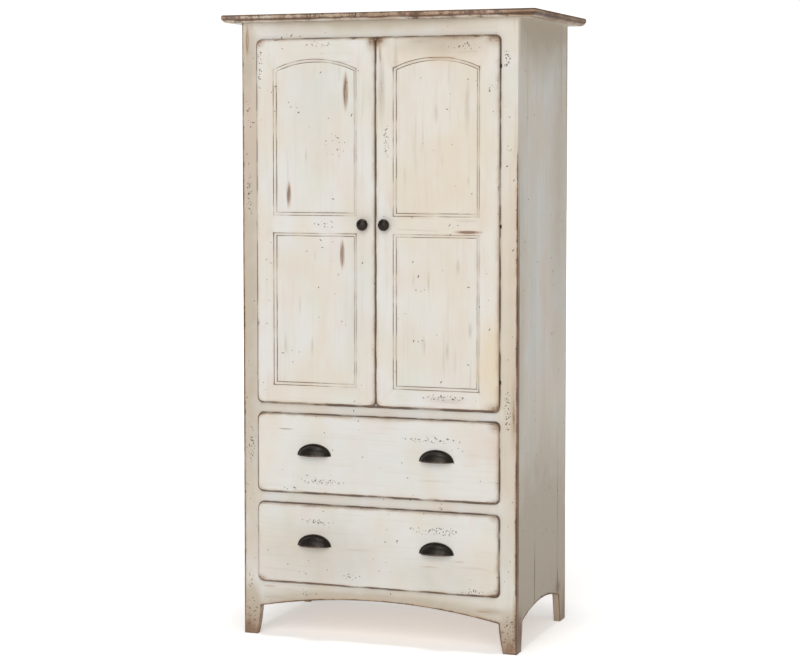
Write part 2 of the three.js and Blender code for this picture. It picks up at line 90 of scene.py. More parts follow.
# The floor's own glow: near the object, how much more far off, and more for the camera.
GLOW_NEAR, GLOW_FAR, GLOW_SEEN = 0.14, 0.33, 0.3

# ---------------------------------------------------------------- small geometry


def box_mm(node):
    """A CAD node's lowest and highest corners, in millimetres."""
    low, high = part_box(node)
    return Vector(low) / MM, Vector(high) / MM


def arc(centre, radius, start, end, steps):
    """Points on an arc, angles in radians."""
    points = []
    for i in range(steps + 1):
        angle = start + (end - start) * i / steps
        points.append((centre[0] + radius * math.cos(angle), centre[1] + radius * math.sin(angle)))
    return points


def bent(start, middle, end, steps):
    """Points on a quadratic curve from start to end, drawn towards the middle point."""
    points = []
    for i in range(steps + 1):
        t = i / steps
        points.append(tuple(
            (1 - t) ** 2 * a + 2 * t * (1 - t) * b + t * t * c for a, b, c in zip(start, middle, end)
        ))
    return points


def arch_points(left, right, spring, rise, step=14):
    """Points from left to right over an arch that springs at that height."""
    half = (right - left) / 2
    radius = (half ** 2 + rise ** 2) / (2 * rise)
    centre = ((left + right) / 2, spring + rise - radius)
    turn = math.asin(half / radius)
    steps = max(2, round((right - left) / step))
    return arc(centre, radius, math.pi / 2 + turn, math.pi / 2 - turn, steps)


def quarter(u, v, turn):
    """A front's rounded corner about u, v, starting at turn times half a circle."""
    return arc((u, v), FRONT_CORNER, turn * math.pi, (turn + 0.5) * math.pi, 7)


def oblong(left, low, right, high):
    return [(left, low), (right, low), (right, high), (left, high)]


def edge_list(*runs):
    """An outline from (kind, points) runs: each run's points start edges of that kind."""
    outline = []
    for kind, points in runs:
        for u, v in points:
            outline.append((u, v, kind))
    return outline


def refined(outline, step=14):
    """The outline with its long shaped edges divided, so wear can vary along them."""
    result = []
    for i, (u, v, kind) in enumerate(outline):
        next_u, next_v, _ = outline[(i + 1) % len(outline)]
        result.append((u, v, kind))
        length = math.hypot(next_u - u, next_v - v)
        parts = 1 if kind == "square" else max(1, int(length / step))
        for k in range(1, parts):
            t = k / parts
            result.append((u + (next_u - u) * t, v + (next_v - v) * t, kind))
    return result


def flipped(outline, centre=0):
    """The outline mirrored about u = centre, kept counter-clockwise."""
    count = len(outline)
    result = []
    for i in range(count):
        u, v, _ = outline[count - 1 - i]
        kind = outline[(count - 2 - i) % count][2]
        result.append((2 * centre - u, v, kind))
    return result


def corner_shift(before, after, inset_before, inset_after):
    """How an outline's corner moves when its two edges move in by those insets."""
    det = before[0] * after[1] - before[1] * after[0]
    if abs(det) < 0.12:
        mean = (before[0] + after[0], before[1] + after[1])
        length = math.hypot(*mean)
        inset = (inset_before + inset_after) / 2
        scale = inset / (mean[0] * after[0] + mean[1] * after[1]) if length else 0
        return mean[0] * scale, mean[1] * scale
    return (
        (inset_before * after[1] - inset_after * before[1]) / det,
        (inset_after * before[0] - inset_before * after[0]) / det,
    )


# ------------------------------------------------------------------ edge profiles
# A profile lists rings from the back of a board to its front: how far in from the
# outline, how deep below the face, and how worn and how glazed the paint is there.

# Where two kinds of edge meet at a corner, the one with the higher rank leads.
RANK = {"square": 0, "seam": 1, "worn": 2, "round": 3, "stick": 4, "tongue": 4}


def rounding(radius, wears, glazes):
    """Rings over a quarter-round, from a board's edge to its face."""
    rings = []
    for i, (wear, glaze) in enumerate(zip(wears, glazes)):
        turn = math.pi / 2 * i / (len(wears) - 1)
        rings.append((radius * (1 - math.cos(turn)), radius * (1 - math.sin(turn)), wear, glaze))
    return rings


def eased_profile(thickness, front, back, wear, glaze):
    """An edge with a small round at the front and the back."""
    rings = [
        (back + 6, thickness, 0, 0),
        (back, thickness, 0.6 * wear, glaze),
        (0.3 * back, thickness - 0.3 * back, 0.8 * wear, glaze),
        (0, thickness - back, 0.5 * wear, glaze),
        (0, thickness - back - 2.5, 0, 0.4 * glaze),
        (0, front + 3, 0, 0.4 * glaze),
    ]
    rings += rounding(front, [share * wear for share in (0.7, 0.95, 1, 0.95, 0.7)], [glaze] * 5)
    rings.append((front + 3, 0, 0.45 * wear, 0.45 * glaze))
    rings.append((front + 10, 0, 0, 0.15 * glaze))
    return rings


def board_profiles(thickness, wear=1.0, glaze=0.0):
    """The edges of a plain board: worn ones that show, and square ones at its joints."""
    worn = eased_profile(thickness, ARRIS, 0.6, wear, glaze)
    return {
        "worn": worn,
        "square": [(0, depth, 0, 0) for _, depth, _, _ in worn],
        "seam": eased_profile(thickness, 0.3, 0.1, 0, 0.42),
    }


def front_profiles():
    """The edges of a door or drawer front: rounded over outside, moulded round a panel.
    Both kinds have the same number of rings, because one piece can have both."""
    thickness = DOOR_THICKNESS
    groove_back = PANEL_DEPTH + PANEL_THICKNESS + PANEL_GAP / 2
    groove_front = PANEL_DEPTH - PANEL_GAP / 2
    width = STICKING_WIDTH
    stick = [
        (-width + 5, thickness, 0, 0),
        (-width + 0.6, thickness, 0.4, 0),
        (-width, thickness - 0.6, 0.5, 0),
        (-width, groove_back, 0, 1),
        (-1, groove_back, 0, 1),
        (-1, groove_front, 0, 1),
        (-width, groove_front, 0, 1),
        (-width, groove_front - 0.5, 0, 1),
        (-width + 0.6, groove_front - 0.7, 0.1, 0.75),
    ]
    for i, glaze in enumerate((0.45, 0.12, 0, 0, 0.1, 0.5)):
        turn = math.pi / 2 * (1 - i / 5)
        inset = -(1.5 + (width - 2.2) * math.sin(turn))
        depth = 1.2 + (groove_front - 2.2) * (1 - math.cos(turn))
        stick.append((inset, depth, 0.3, glaze))
    stick += [
        (-1.0, 1.2, 0, 1),
        (-0.6, 0.8, 0, 1),
        (-0.2, 0.1, 0.3, 0.7),
        (1.0, 0, 0, 0.35),
        (5, 0, 0, 0.1),
    ]
    # the wall's back edge, beside the frame, is dark: glaze, and painted shade in the gap
    wall = [
        (6, thickness, 0, 0),
        (0.8, thickness, 0.3, 0.5),
        (0.2, thickness - 0.2, 0.5, 1.2),
        (0, thickness - 0.8, 0.5, 1.2),
        (0, thickness - 3, 0.45, 1.1),
        (0, thickness - 5.5, 0.4, 0.5),
        (0, thickness - 8, 0.4, 0.3),
        (0, FRONT_ROUND + 1, 0.42, 0.35),
    ]
    # glaze on the round-over; add_board takes most of it off the right and top edges, leaving painted
    # shade on the left and lower edges
    glazes = (0.35, 0.45, 0.75, 0.95, 1.0, 0.98, 0.85, 0.55, 0.25, 0.1)
    wall += rounding(FRONT_ROUND, [0.5 - 0.2 * i / 9 for i in range(10)], glazes)
    wall += [(FRONT_ROUND + 2, 0, 0.15, 0.04), (FRONT_ROUND + 6, 0, 0, 0)]
    return {
        "stick": stick,
        "round": wall,
        "square": [(0, depth, 0, 0) for _, depth, _, _ in wall],
    }


def panel_profiles():
    """A flat panel's edge: a tongue hidden in the groove, glazed where the frame ends."""
    hidden = STICKING_WIDTH - PANEL_GAP
    return {"tongue": [
        (hidden + 4, PANEL_THICKNESS, 0, 0.1),
        (hidden + 0.8, PANEL_THICKNESS, 0, 0.6),
        (hidden - 0.6, PANEL_THICKNESS, 0, 1),
        (0, PANEL_THICKNESS, 0, 1),
        (0, 0, 0, 1),
        (hidden - 0.6, 0, 0, 1),
        (hidden + 0.7, 0, 0, 0.7),
        (hidden + 1.8, 0, 0, 0.3),
        (hidden + 5, 0, 0, 0.12),
    ]}


# ----------------------------------------------------------------- mesh building


def in_scene(name, data):
    thing = bpy.data.objects.new(name, data)
    bpy.context.scene.collection.objects.link(thing)
    return thing


def finish_mesh(bm, name, smooth_angle=SHARP_ANGLE):
    """A mesh object from bm, with smooth curves and crisp corners."""
    bmesh.ops.remove_doubles(bm, verts=bm.verts, dist=WELD)
    loose = [v for v in bm.verts if not v.link_faces]
    bmesh.ops.delete(bm, geom=loose, context="VERTS")
    bmesh.ops.recalc_face_normals(bm, faces=bm.faces)
    mesh = bpy.data.meshes.new(name)
    bm.to_mesh(mesh)
    bm.free()
    for polygon in mesh.polygons:
        polygon.use_smooth = True
    mesh.set_sharp_from_angle(angle=math.radians(smooth_angle))
    return in_scene(name, mesh)


def skin(bm, rings, closed_ends=True):
    """Joins rings of (point, wear, glaze) into one skin."""
    wear_layer = bm.verts.layers.float.get("wear") or bm.verts.layers.float.new("wear")
    glaze_layer = bm.verts.layers.float.get("glaze") or bm.verts.layers.float.new("glaze")
    made = []
    for ring in rings:
        row = []
        for point, wear, glaze in ring:
            vertex = bm.verts.new(Vector(point) * MM)
            vertex[wear_layer] = wear
            vertex[glaze_layer] = glaze
            row.append(vertex)
        made.append(row)
    count = len(made[0])
    for low, high in zip(made, made[1:]):
        for i in range(count):
            j = (i + 1) % count
            bm.faces.new((low[i], low[j], high[j], high[i]))
    if closed_ends:
        bm.faces.new(made[0])
        bm.faces.new(made[-1])


def dent(point):
    """How much a worn edge has lost at a point, in millimetres."""
    slow = noise.noise(point * 0.011)
    quick = noise.noise(point * 0.06 + Vector((31, 7, 3)))
    return 0.35 * max(0, slow + 0.1) + 0.8 * max(0, quick - 0.25)


def rubbed_at(point):
    """How much of its wear an edge shows: the case's right corner is clean near the top."""
    if point.x < 380 or point.y > -200:
        return 1
    return 0.25 + 0.75 * min(1, max(0, (1400 - point.z) / 160))


def add_board(bm, outline, profiles, place):
    """Adds a board to bm: its outline drawn in by each edge's own profile, ring by ring."""
    outline = refined(outline)
    count = len(outline)
    normals = []
    for i, (u, v, _) in enumerate(outline):
        next_u, next_v, _ = outline[(i + 1) % count]
        length = math.hypot(next_u - u, next_v - v)
        normals.append(((v - next_v) / length, (next_u - u) / length))
    turns = []
    for i, (across, up) in enumerate(normals):
        bend = 1 - across * normals[i - 1][0] - up * normals[i - 1][1]
        turns.append(math.sqrt(min(1, max(0, 4 * bend))))
    rings = []
    for k in range(len(next(iter(profiles.values())))):
        ring = []
        for i, (u, v, kind) in enumerate(outline):
            kind_before = outline[i - 1][2]
            before = profiles[kind_before][k]
            after = profiles[kind][k]
            lead = before if RANK[kind_before] > RANK[kind] else after
            depth = lead[1]
            worn_away = dent(Vector(place(u, v, 0))) if lead[2] > WORN_AWAY else 0
            du, dv = corner_shift(
                normals[i - 1],
                normals[i],
                before[0] + (worn_away if kind_before in ("worn", "round") else 0),
                after[0] + (worn_away if kind in ("worn", "round") else 0),
            )
            wear = max(before[2], after[2])
            glaze = max(before[3], after[3])
            if kind == kind_before == "round" and depth <= FRONT_ROUND:
                # painted shade: less glaze on the round-over along the right and the top, which face the
                # light, so the left and lower edges, facing away from it, stay darker
                glaze *= 1 - 0.8 * max(0, -normals[i][0]) - 0.5 * max(0, -normals[i][1])
            glazed = lead[3] > 0 and depth < DOOR_THICKNESS - 1
            # more glaze in an outline's corners, and on rounded corners painted shade as well
            if kind == kind_before and kind in CORNER_GLAZE_AND_SHADE and glazed:
                glaze += CORNER_GLAZE_AND_SHADE[kind] * turns[i]
            point = place(u + du, v + dv, depth)
            rubbed = rubbed_at(Vector(point))
            ring.append((point, wear * rubbed, glaze * rubbed))
        rings.append(ring)
    skin(bm, rings)


def facing_front(face):
    return lambda u, v, depth: (u, face + depth, v)


def facing_side(outer, inward):
    """For a side whose outer face is at x = outer: u runs back from the frame's face."""
    return lambda u, v, depth: (outer + inward * depth, FRAME_FACE + u, v)


def board(name, outline, profiles, place, body, node, material):
    bm = bmesh.new()
    add_board(bm, outline, profiles, place)
    show(finish_mesh(bm, name), body, node, material)


def show(piece, body, node, material):
    """Gives a finished piece its material and body, and hides the CAD node it stands for."""
    piece.data.materials.append(material)
    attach(piece, body)
    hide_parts(node)


def turned(bm, profile, centre, axis, segments):
    """Adds a turned shape: profile of (radius, along) points about an axis at centre."""
    rotation = Vector((0, 0, 1)).rotation_difference(Vector(axis)).to_matrix()
    rings = []
    for radius, along, wear in profile:
        ring = []
        for i in range(segments):
            angle = 2 * math.pi * i / segments
            local = Vector((radius * math.cos(angle), radius * math.sin(angle), along))
            ring.append((Vector(centre) + rotation @ local, wear, 0))
        rings.append(ring)
    skin(bm, rings, closed_ends=False)


def through(points, steps=4):
    """A smooth curve through points of any size."""
    result = []
    last = len(points) - 1
    for i in range(last):
        p0 = points[max(i - 1, 0)]
        p1, p2 = points[i], points[i + 1]
        p3 = points[min(i + 2, last)]
        for k in range(steps):
            t = k / steps
            result.append(tuple(
                0.5 * (2 * b + (c - a) * t + (2 * a - 5 * b + 4 * c - d) * t * t
                       + (3 * b - a - 3 * c + d) * t ** 3)
                for a, b, c, d in zip(p0, p1, p2, p3)
            ))
    result.append(points[-1])
    return result


# -------------------------------------------------------------------- materials


def linear(red, green, blue):
    """A colour given in 0 to 255 display values, as the shader wants it."""
    def one(value):
        value /= 255
        return value / 12.92 if value <= 0.04045 else ((value + 0.055) / 1.055) ** 2.4
    return one(red), one(green), one(blue), 1


class Wire:
    """A value in a material's graph that can be used in arithmetic."""

    def __init__(self, graph, socket):
        self.graph = graph
        self.socket = socket

    def __add__(self, other):
        return self.graph.math("ADD", self, other)

    __radd__ = __add__

    def __sub__(self, other):
        return self.graph.math("SUBTRACT", self, other)

    def __rsub__(self, other):
        return self.graph.math("SUBTRACT", other, self)

    def __mul__(self, other):
        return self.graph.math("MULTIPLY", self, other)

    __rmul__ = __mul__

    def __truediv__(self, other):
        return self.graph.math("DIVIDE", self, other)

    def __abs__(self):
        return self.graph.math("ABSOLUTE", self)


class Graph:
    """A material's node graph, with short names for what the materials here use."""

    def __init__(self, name):
        self.material = bpy.data.materials.new(name)
        self.material.use_nodes = True
        self.tree = self.material.node_tree
        self.tree.nodes.clear()
        output = self.tree.nodes.new("ShaderNodeOutputMaterial")
        self.shader = self.tree.nodes.new("ShaderNodeBsdfPrincipled")
        self.tree.links.new(self.shader.outputs[0], output.inputs["Surface"])

    def node(self, kind, inputs=(), **settings):
        node = self.tree.nodes.new(kind)
        for key, value in settings.items():
            setattr(node, key, value)
        for key, value in dict(inputs).items():
            self.feed(node.inputs[key], value)
        return node

    def feed(self, socket, value):
        if isinstance(value, Wire):
            self.tree.links.new(value.socket, socket)
        else:
            socket.default_value = value

    def math(self, operation, *values):
        node = self.node("ShaderNodeMath", enumerate(values), operation=operation)
        return Wire(self, node.outputs[0])

    def most(self, first, second):
        return self.math("MAXIMUM", first, second)

    def least(self, first, second):
        return self.math("MINIMUM", first, second)

    def smooth(self, value, start, end, at_start, at_end):
        """Goes smoothly from one output to another as the value goes from start to end."""
        inputs = {"Value": value, "From Min": start, "From Max": end, "To Min": at_start, "To Max": at_end}
        node = self.node("ShaderNodeMapRange", inputs, interpolation_type="SMOOTHSTEP")
        return Wire(self, node.outputs[0])

    def ramp(self, value, low, high):
        """0 below low, 1 above high, smooth between; low may be the greater."""
        if low < high:
            return self.smooth(value, low, high, 0, 1)
        return self.smooth(value, high, low, 1, 0)

    def mix(self, factor, first, second):
        node = self.node("ShaderNodeMix", {0: factor, 6: first, 7: second}, data_type="RGBA")
        return Wire(self, node.outputs[2])

    def place(self):
        """x, y and z in the CAD frame at rest, in millimetres."""
        metres = Wire(self, self.node("ShaderNodeTexCoord").outputs["Object"])
        scaled = self.node("ShaderNodeVectorMath", {0: metres, "Scale": 1 / MM}, operation="SCALE")
        split = self.node("ShaderNodeSeparateXYZ", {0: Wire(self, scaled.outputs[0])})
        return [Wire(self, split.outputs[i]) for i in range(3)]

    def vector(self, x, y, z):
        node = self.node("ShaderNodeCombineXYZ", enumerate((x, y, z)))
        return Wire(self, node.outputs[0])

    def attribute(self, name):
        node = self.node("ShaderNodeAttribute", attribute_name=name)
        return Wire(self, node.outputs["Fac"])

    def noise(self, position, detail=2, roughness=0.5, distortion=0):
        node = self.node("ShaderNodeTexNoise", {
            "Vector": position,
            "Scale": 1,
            "Detail": detail,
            "Roughness": roughness,
            "Distortion": distortion,
        })
        return Wire(self, node.outputs[0])

    def cloud(self, place, size, detail=2, roughness=0.5):
        """Noise in patches of about that size."""
        return self.noise(self.vector(*(p / size for p in place)), detail, roughness)

    def strokes(self, place, grain, width, length, shift=0, detail=2, roughness=0.5, distortion=0):
        """Noise drawn out along the grain's axis; each shift gives a different pattern."""
        sizes = [width] * 3
        sizes[grain] = length
        x, y, z = (p / size for p, size in zip(place, sizes))
        return self.noise(self.vector(x + shift, y, z), detail, roughness, distortion)

    def cells(self, position):
        """Distance to the nearest of scattered points, and two random values for it."""
        inputs = {"Vector": position, "Scale": 1}
        node = self.node("ShaderNodeTexVoronoi", inputs, voronoi_dimensions="2D")
        split = self.node("ShaderNodeSeparateColor", {0: Wire(self, node.outputs["Color"])})
        sockets = (node.outputs["Distance"], split.outputs[0], split.outputs[1])
        return [Wire(self, socket) for socket in sockets]

    def spots(self, flat_place, ovals, full=0.2, grow=1.0):
        """The strongest of some ovals, each full in its middle and fading to 0 at its edge."""
        total = 0
        for u, v, half_width, half_height, amount in ovals:
            half_width *= grow
            half_height *= grow
            scale = (1 / half_width, 1 / half_height, 0)
            shift = (-u / half_width, -v / half_height, 0)
            inputs = {0: flat_place, 1: scale, 2: shift}
            offset = self.node("ShaderNodeVectorMath", inputs, operation="MULTIPLY_ADD")
            inputs = {0: Wire(self, offset.outputs[0])}
            length = self.node("ShaderNodeVectorMath", inputs, operation="LENGTH")
            fade = self.smooth(Wire(self, length.outputs["Value"]), full, 1, amount, 0)
            total = self.most(total, fade)
        return total

    def bump(self, height, distance, strength):
        inputs = {"Height": height, "Distance": distance * MM, "Strength": strength}
        node = self.node("ShaderNodeBump", inputs)
        self.tree.links.new(node.outputs[0], self.shader.inputs["Normal"])

    def finish(self, colour, roughness, metallic=0.0, specular=0.5):
        self.feed(self.shader.inputs["Base Color"], colour)
        self.feed(self.shader.inputs["Roughness"], roughness)
        self.shader.inputs["Metallic"].default_value = metallic
        self.shader.inputs["Specular IOR Level"].default_value = specular
        return self.material


# Marks in the finish, in each region: u, v, half width, half height and strength of each,
# with u, v being x, z on the front, y, z on the sides and x, y on the top. Rubs go through
# to the wood, smudges are faint grey drags, specks are groups of small holes and tracks,
# and the rest are where the paint is browner, darker, pinker, warmer or cooler. Some are
# painted shade as well: the brown ones at the fronts' rounded corners and the crown's right
# end, and the shade ones on the sides, the frame, the apron and the crown, which darken
# where less light falls.
KINDS = ("rubs", "smudges", "specks", "brown", "shade", "pink", "warm", "cool")
NO_MARKS = {kind: [] for kind in KINDS}
DOOR_MARKS = NO_MARKS | {
    "rubs": [
        (-85, 1492, 11, 70, 1.0), (-250, 1215, 10, 50, 0.95), (-95, 1055, 10, 54, 1.0),
        (180, 1577, 72, 4, 0.6), (262, 1119, 54, 7, 1.0), (16, 1590, 7, 40, 0.6),
    ],
    "smudges": [
        (136, 815, 8, 40, 1), (202, 803, 8, 40, 1), (266, 860, 9, 32, 1),
        (108, 990, 5, 28, 0.8), (150, 988, 6, 40, 1), (232, 1026, 7, 30, 0.9),
        (260, 1254, 6, 20, 0.9), (188, 1305, 6, 22, 0.9), (171, 1432, 7, 36, 1),
        (-218, 916, 6, 34, 1), (-260, 808, 8, 42, 1), (-183, 805, 6, 36, 1),
        (-173, 1049, 4, 22, 0.8), (-199, 1320, 5, 26, 0.8), (60, 1560, 10, 90, 0.9),
        (200, 672, 80, 16, 0.8), (130, 1622, 44, 12, 1.0),
    ],
    "specks": [
        (-331, 1560, 7, 60, 0.55), (34, 1355, 8, 46, 0.55), (-160, 1617, 45, 6, 0.5),
        (255, 1605, 45, 8, 0.45), (322, 1495, 8, 14, 0.5), (200, 680, 62, 8, 0.6),
        (-143, 1136, 40, 10, 0.3), (-115, 1350, 32, 42, 0.12),
    ],
    # browner glaze; at the doors' rounded corners it is also painted shade
    "brown": [
        (-342, 1632, 36, 30, 1.3), (-4, 1632, 30, 50, 1.25), (8, 1632, 40, 40, 1.25),
        (342, 1632, 56, 36, 1.2), (230, 1630, 140, 14, 0.8), (20, 1500, 16, 130, 0.5),
        (1, 650, 26, 22, 0.9), (342, 648, 54, 34, 1.25), (-342, 650, 20, 20, 0.8),
    ],
    "warm": [
        (200, 1250, 230, 520, 0.5), (330, 770, 80, 230, 1.1), (180, 1600, 230, 80, 0.7),
    ],
    "shade": [
        (190, 1618, 200, 62, 0.9),
    ],
    "cool": [
        (-180, 1450, 120, 260, 0.5), (-60, 900, 60, 300, 0.5),
    ],
}
DRAWER_MARKS = NO_MARKS | {
    "rubs": [
        (-258, 577, 32, 3, 0.7), (240, 243, 28, 3, 0.4), (155, 224, 42, 4, 0.35),
    ],
    "specks": [
        (-160, 437, 66, 9, 0.6), (150, 566, 72, 9, 0.6), (-246, 416, 20, 5, 0.5),
        (85, 460, 22, 5, 0.4), (-166, 326, 50, 9, 0.5), (-63, 183, 26, 10, 0.4),
        (170, 320, 66, 12, 0.65), (280, 165, 30, 8, 0.5),
    ],
    # browner glaze; at the drawer fronts' rounded corners it is also painted shade
    "brown": [
        (-342, 155, 40, 26, 1.1), (-342, 404, 34, 20, 0.9), (342, 155, 44, 24, 1.1),
        (342, 404, 36, 18, 0.9), (342, 616, 34, 34, 1.0), (342, 368, 28, 24, 0.7),
        (-342, 616, 24, 20, 0.7),
    ],
    "shade": [
        (-180, 230, 280, 170, 0.45), (200, 200, 260, 120, 0.25),
    ],
    "pink": [
        (340, 560, 60, 90, 0.7),
    ],
    "warm": [
        (330, 220, 130, 140, 0.5), (-330, 500, 90, 160, 0.3),
    ],
    "cool": [
        (0, 500, 240, 160, 0.3), (-60, 240, 220, 160, 0.4),
    ],
}
FRAME_MARKS = NO_MARKS | {
    "rubs": [
        (-376, 1632, 8, 64, 0.8), (300, 110, 36, 3.5, 0.5), (-317, 136, 34, 6, 0.38),
    ],
    "specks": [
        (-371, 1210, 9, 60, 0.5), (-374, 1400, 8, 120, 0.15), (-262, 1640, 40, 8, 0.25),
        (361, 1570, 9, 26, 0.5), (368, 1332, 7, 20, 0.5), (365, 645, 9, 52, 0.7),
        (-367, 520, 10, 55, 0.45), (-203, 123, 26, 6, 0.4), (-372, 152, 8, 30, 0.5),
        (-372, 40, 20, 60, 0.5), (372, 40, 20, 60, 0.5),
    ],
    "brown": [
        (-393, 700, 10, 1250, 2.3), (393, 560, 9, 940, 1.9), (391, 60, 16, 160, 1.1),
        (384, 640, 15, 140, 0.95), (1, 1628, 8, 13, 2.0), (-374, 0, 60, 80, 1.3),
        (374, 0, 60, 80, 1.2), (0, 84, 460, 20, 0.6), (320, 112, 60, 14, 0.5),
    ],
    # darker paint and painted shade: on the stiles, the apron, by the feet and under the crown's overhang
    "shade": [
        (-378, 1560, 50, 260, 0.9), (-376, 900, 60, 1100, 1.05), (376, 700, 60, 900, 0.45),
        (0, 96, 480, 66, 2.2), (-374, 60, 60, 130, 1.8), (374, 50, 60, 110, 1.5),
        (0, 1684, 560, 50, 1.4),
    ],
    "pink": [
        (-372, 1380, 40, 400, 1.25), (-374, 50, 50, 90, 0.8), (374, 50, 50, 90, 0.8),
        (380, 900, 16, 700, 0.5),
    ],
    "warm": [
        (378, 900, 60, 900, 0.6),
    ],
}
SIDE_MARKS = NO_MARKS | {
    "brown": [
        (256, 1500, 12, 240, 0.6), (200, 1560, 9, 180, 0.5), (-49, 140, 7, 220, 1.4),
        (180, 300, 8, 320, 0.8), (182, 110, 10, 110, 1.2), (-132, 1480, 8, 170, 0.25),
        (-216, 760, 12, 1000, 0.8), (186, 104, 60, 40, 0.85), (-195, 50, 60, 110, 1.1),
        (252, 30, 30, 120, 0.7),
    ],
    # darker paint and painted shade: the sides darker at the top and the bottom and in two broad upright
    # bands
    "shade": [
        (180, 1200, 150, 800, 0.5), (-190, 800, 80, 1000, 0.5), (20, 1720, 620, 250, 1.5),
        (20, 150, 620, 600, 1.75),
    ],
    "pink": [
        (30, 800, 50, 700, 0.35),
    ],
    "cool": [
        (-80, 900, 50, 600, 0.7),
    ],
}
TOP_MARKS = NO_MARKS | {
    # browner finish, and painted shade on the less lit right end and its front corner
    "brown": [
        (-452, -60, 26, 340, 3.0), (452, 40, 30, 420, 2.4), (430, -250, 110, 18, 3.2),
        (40, -246, 520, 9, 0.9),
    ],
    # darker paint over the top and along the nosing, and painted shade on the right end's quarter-round
    "shade": [
        (0, 0, 520, 400, 0.4), (0, -247, 560, 12, 1.7), (440, 0, 120, 500, 1.3),
    ],
}

CREAM = linear(219, 217, 213), linear(217, 210, 198)
TINTS = {
    "cool": linear(208, 209, 206),
    "warm": linear(219, 205, 183),
    "pink": linear(212, 192, 178),
    # darker paint; where its marks lie on the sides, frame and crown it is also painted shade
    "shade": linear(188, 177, 160),
}
PINKER = linear(218, 204, 195)
GREENER = linear(209, 210, 197)
FINE_STROKE = linear(190, 176, 156)
BROAD_STROKE = linear(188, 173, 152)
DRY_STROKE = linear(166, 152, 134)
SHADED = linear(196, 178, 154)
SMUDGE = linear(158, 148, 132)
THIN = linear(180, 152, 124)  # beside worn edges
DIRT = linear(146, 120, 98)
WASH = linear(164, 141, 118), linear(108, 78, 58)
BARE = linear(142, 102, 82), linear(86, 62, 48)
RUBBED = linear(172, 138, 110), linear(112, 82, 60)
GLAZE = linear(92, 66, 46)
HOLE = linear(64, 50, 40)
LATE_WOOD = linear(150, 106, 66)
PORES = linear(122, 84, 52)


def cream(g, place, cool):
    """The base colour: large soft patches of warmer, cooler, pinker and greener cream."""
    patch = g.strokes(place, 2, 110, 190)
    pink = g.strokes(place, 2, 70, 120, 40)
    green = g.strokes(place, 2, 90, 150, 80)
    colour = g.mix(g.ramp(patch - cool, 0.36, 0.64), *CREAM)
    colour = g.mix(0.4 * g.ramp(pink, 0.48, 0.7), colour, PINKER)
    return g.mix(0.4 * g.ramp(green, 0.5, 0.7), colour, GREENER)


def glaze_and_shade_lines(g, place):
    """The thin line of glaze and painted shade on the frame round the doors and the drawer fronts, where
    the fronts stand out over it.
    """
    line = 0
    for half, low, high in FRONT_BOXES:
        bottom = low - 2  # more of the line, glaze and painted shade, shows below a front than beside it
        middle, half_high = (bottom + high) / 2, (high - bottom) / 2
        dx = g.most(abs(place[0]) - (half - FRONT_CORNER), 0)
        dz = g.most(abs(place[2] - middle) - (half_high - FRONT_CORNER), 0)
        away = g.math("SQRT", dx * dx + dz * dz) - FRONT_CORNER
        corner = g.ramp(g.least(dx, dz), 1, 9)
        near = g.ramp(away, 6.5, 0.5) * g.ramp(away, -6, -1)
        line = g.most(line, near * (1.1 + 0.25 * corner))
    return line


def small_holes(g, across, up, gritty, density):
    """Small dark holes and short curved tracks; density is the share that shows."""
    bend = g.noise(g.vector(across / 14, up / 14, 4), 1) * 9
    size = 7.5
    holes = 0
    for angle, long, shift in ((0.5, 1.0, 0), (0.9, 2.4, 50), (-0.6, 2.2, 90)):
        cos, sin = math.cos(angle), math.sin(angle)
        along = (across * cos + up * sin + bend) / (size * long)
        aside = (up * cos - across * sin + bend) / size
        distance, chosen, large = g.cells(g.vector(along + shift, aside, 0))
        radius = large * 0.14 + 0.1
        dot = g.ramp((distance + (gritty - 0.5) * 0.2) / radius, 1.2, 0.6)
        holes = g.most(holes, dot * g.math("LESS_THAN", chosen, density))
    return holes


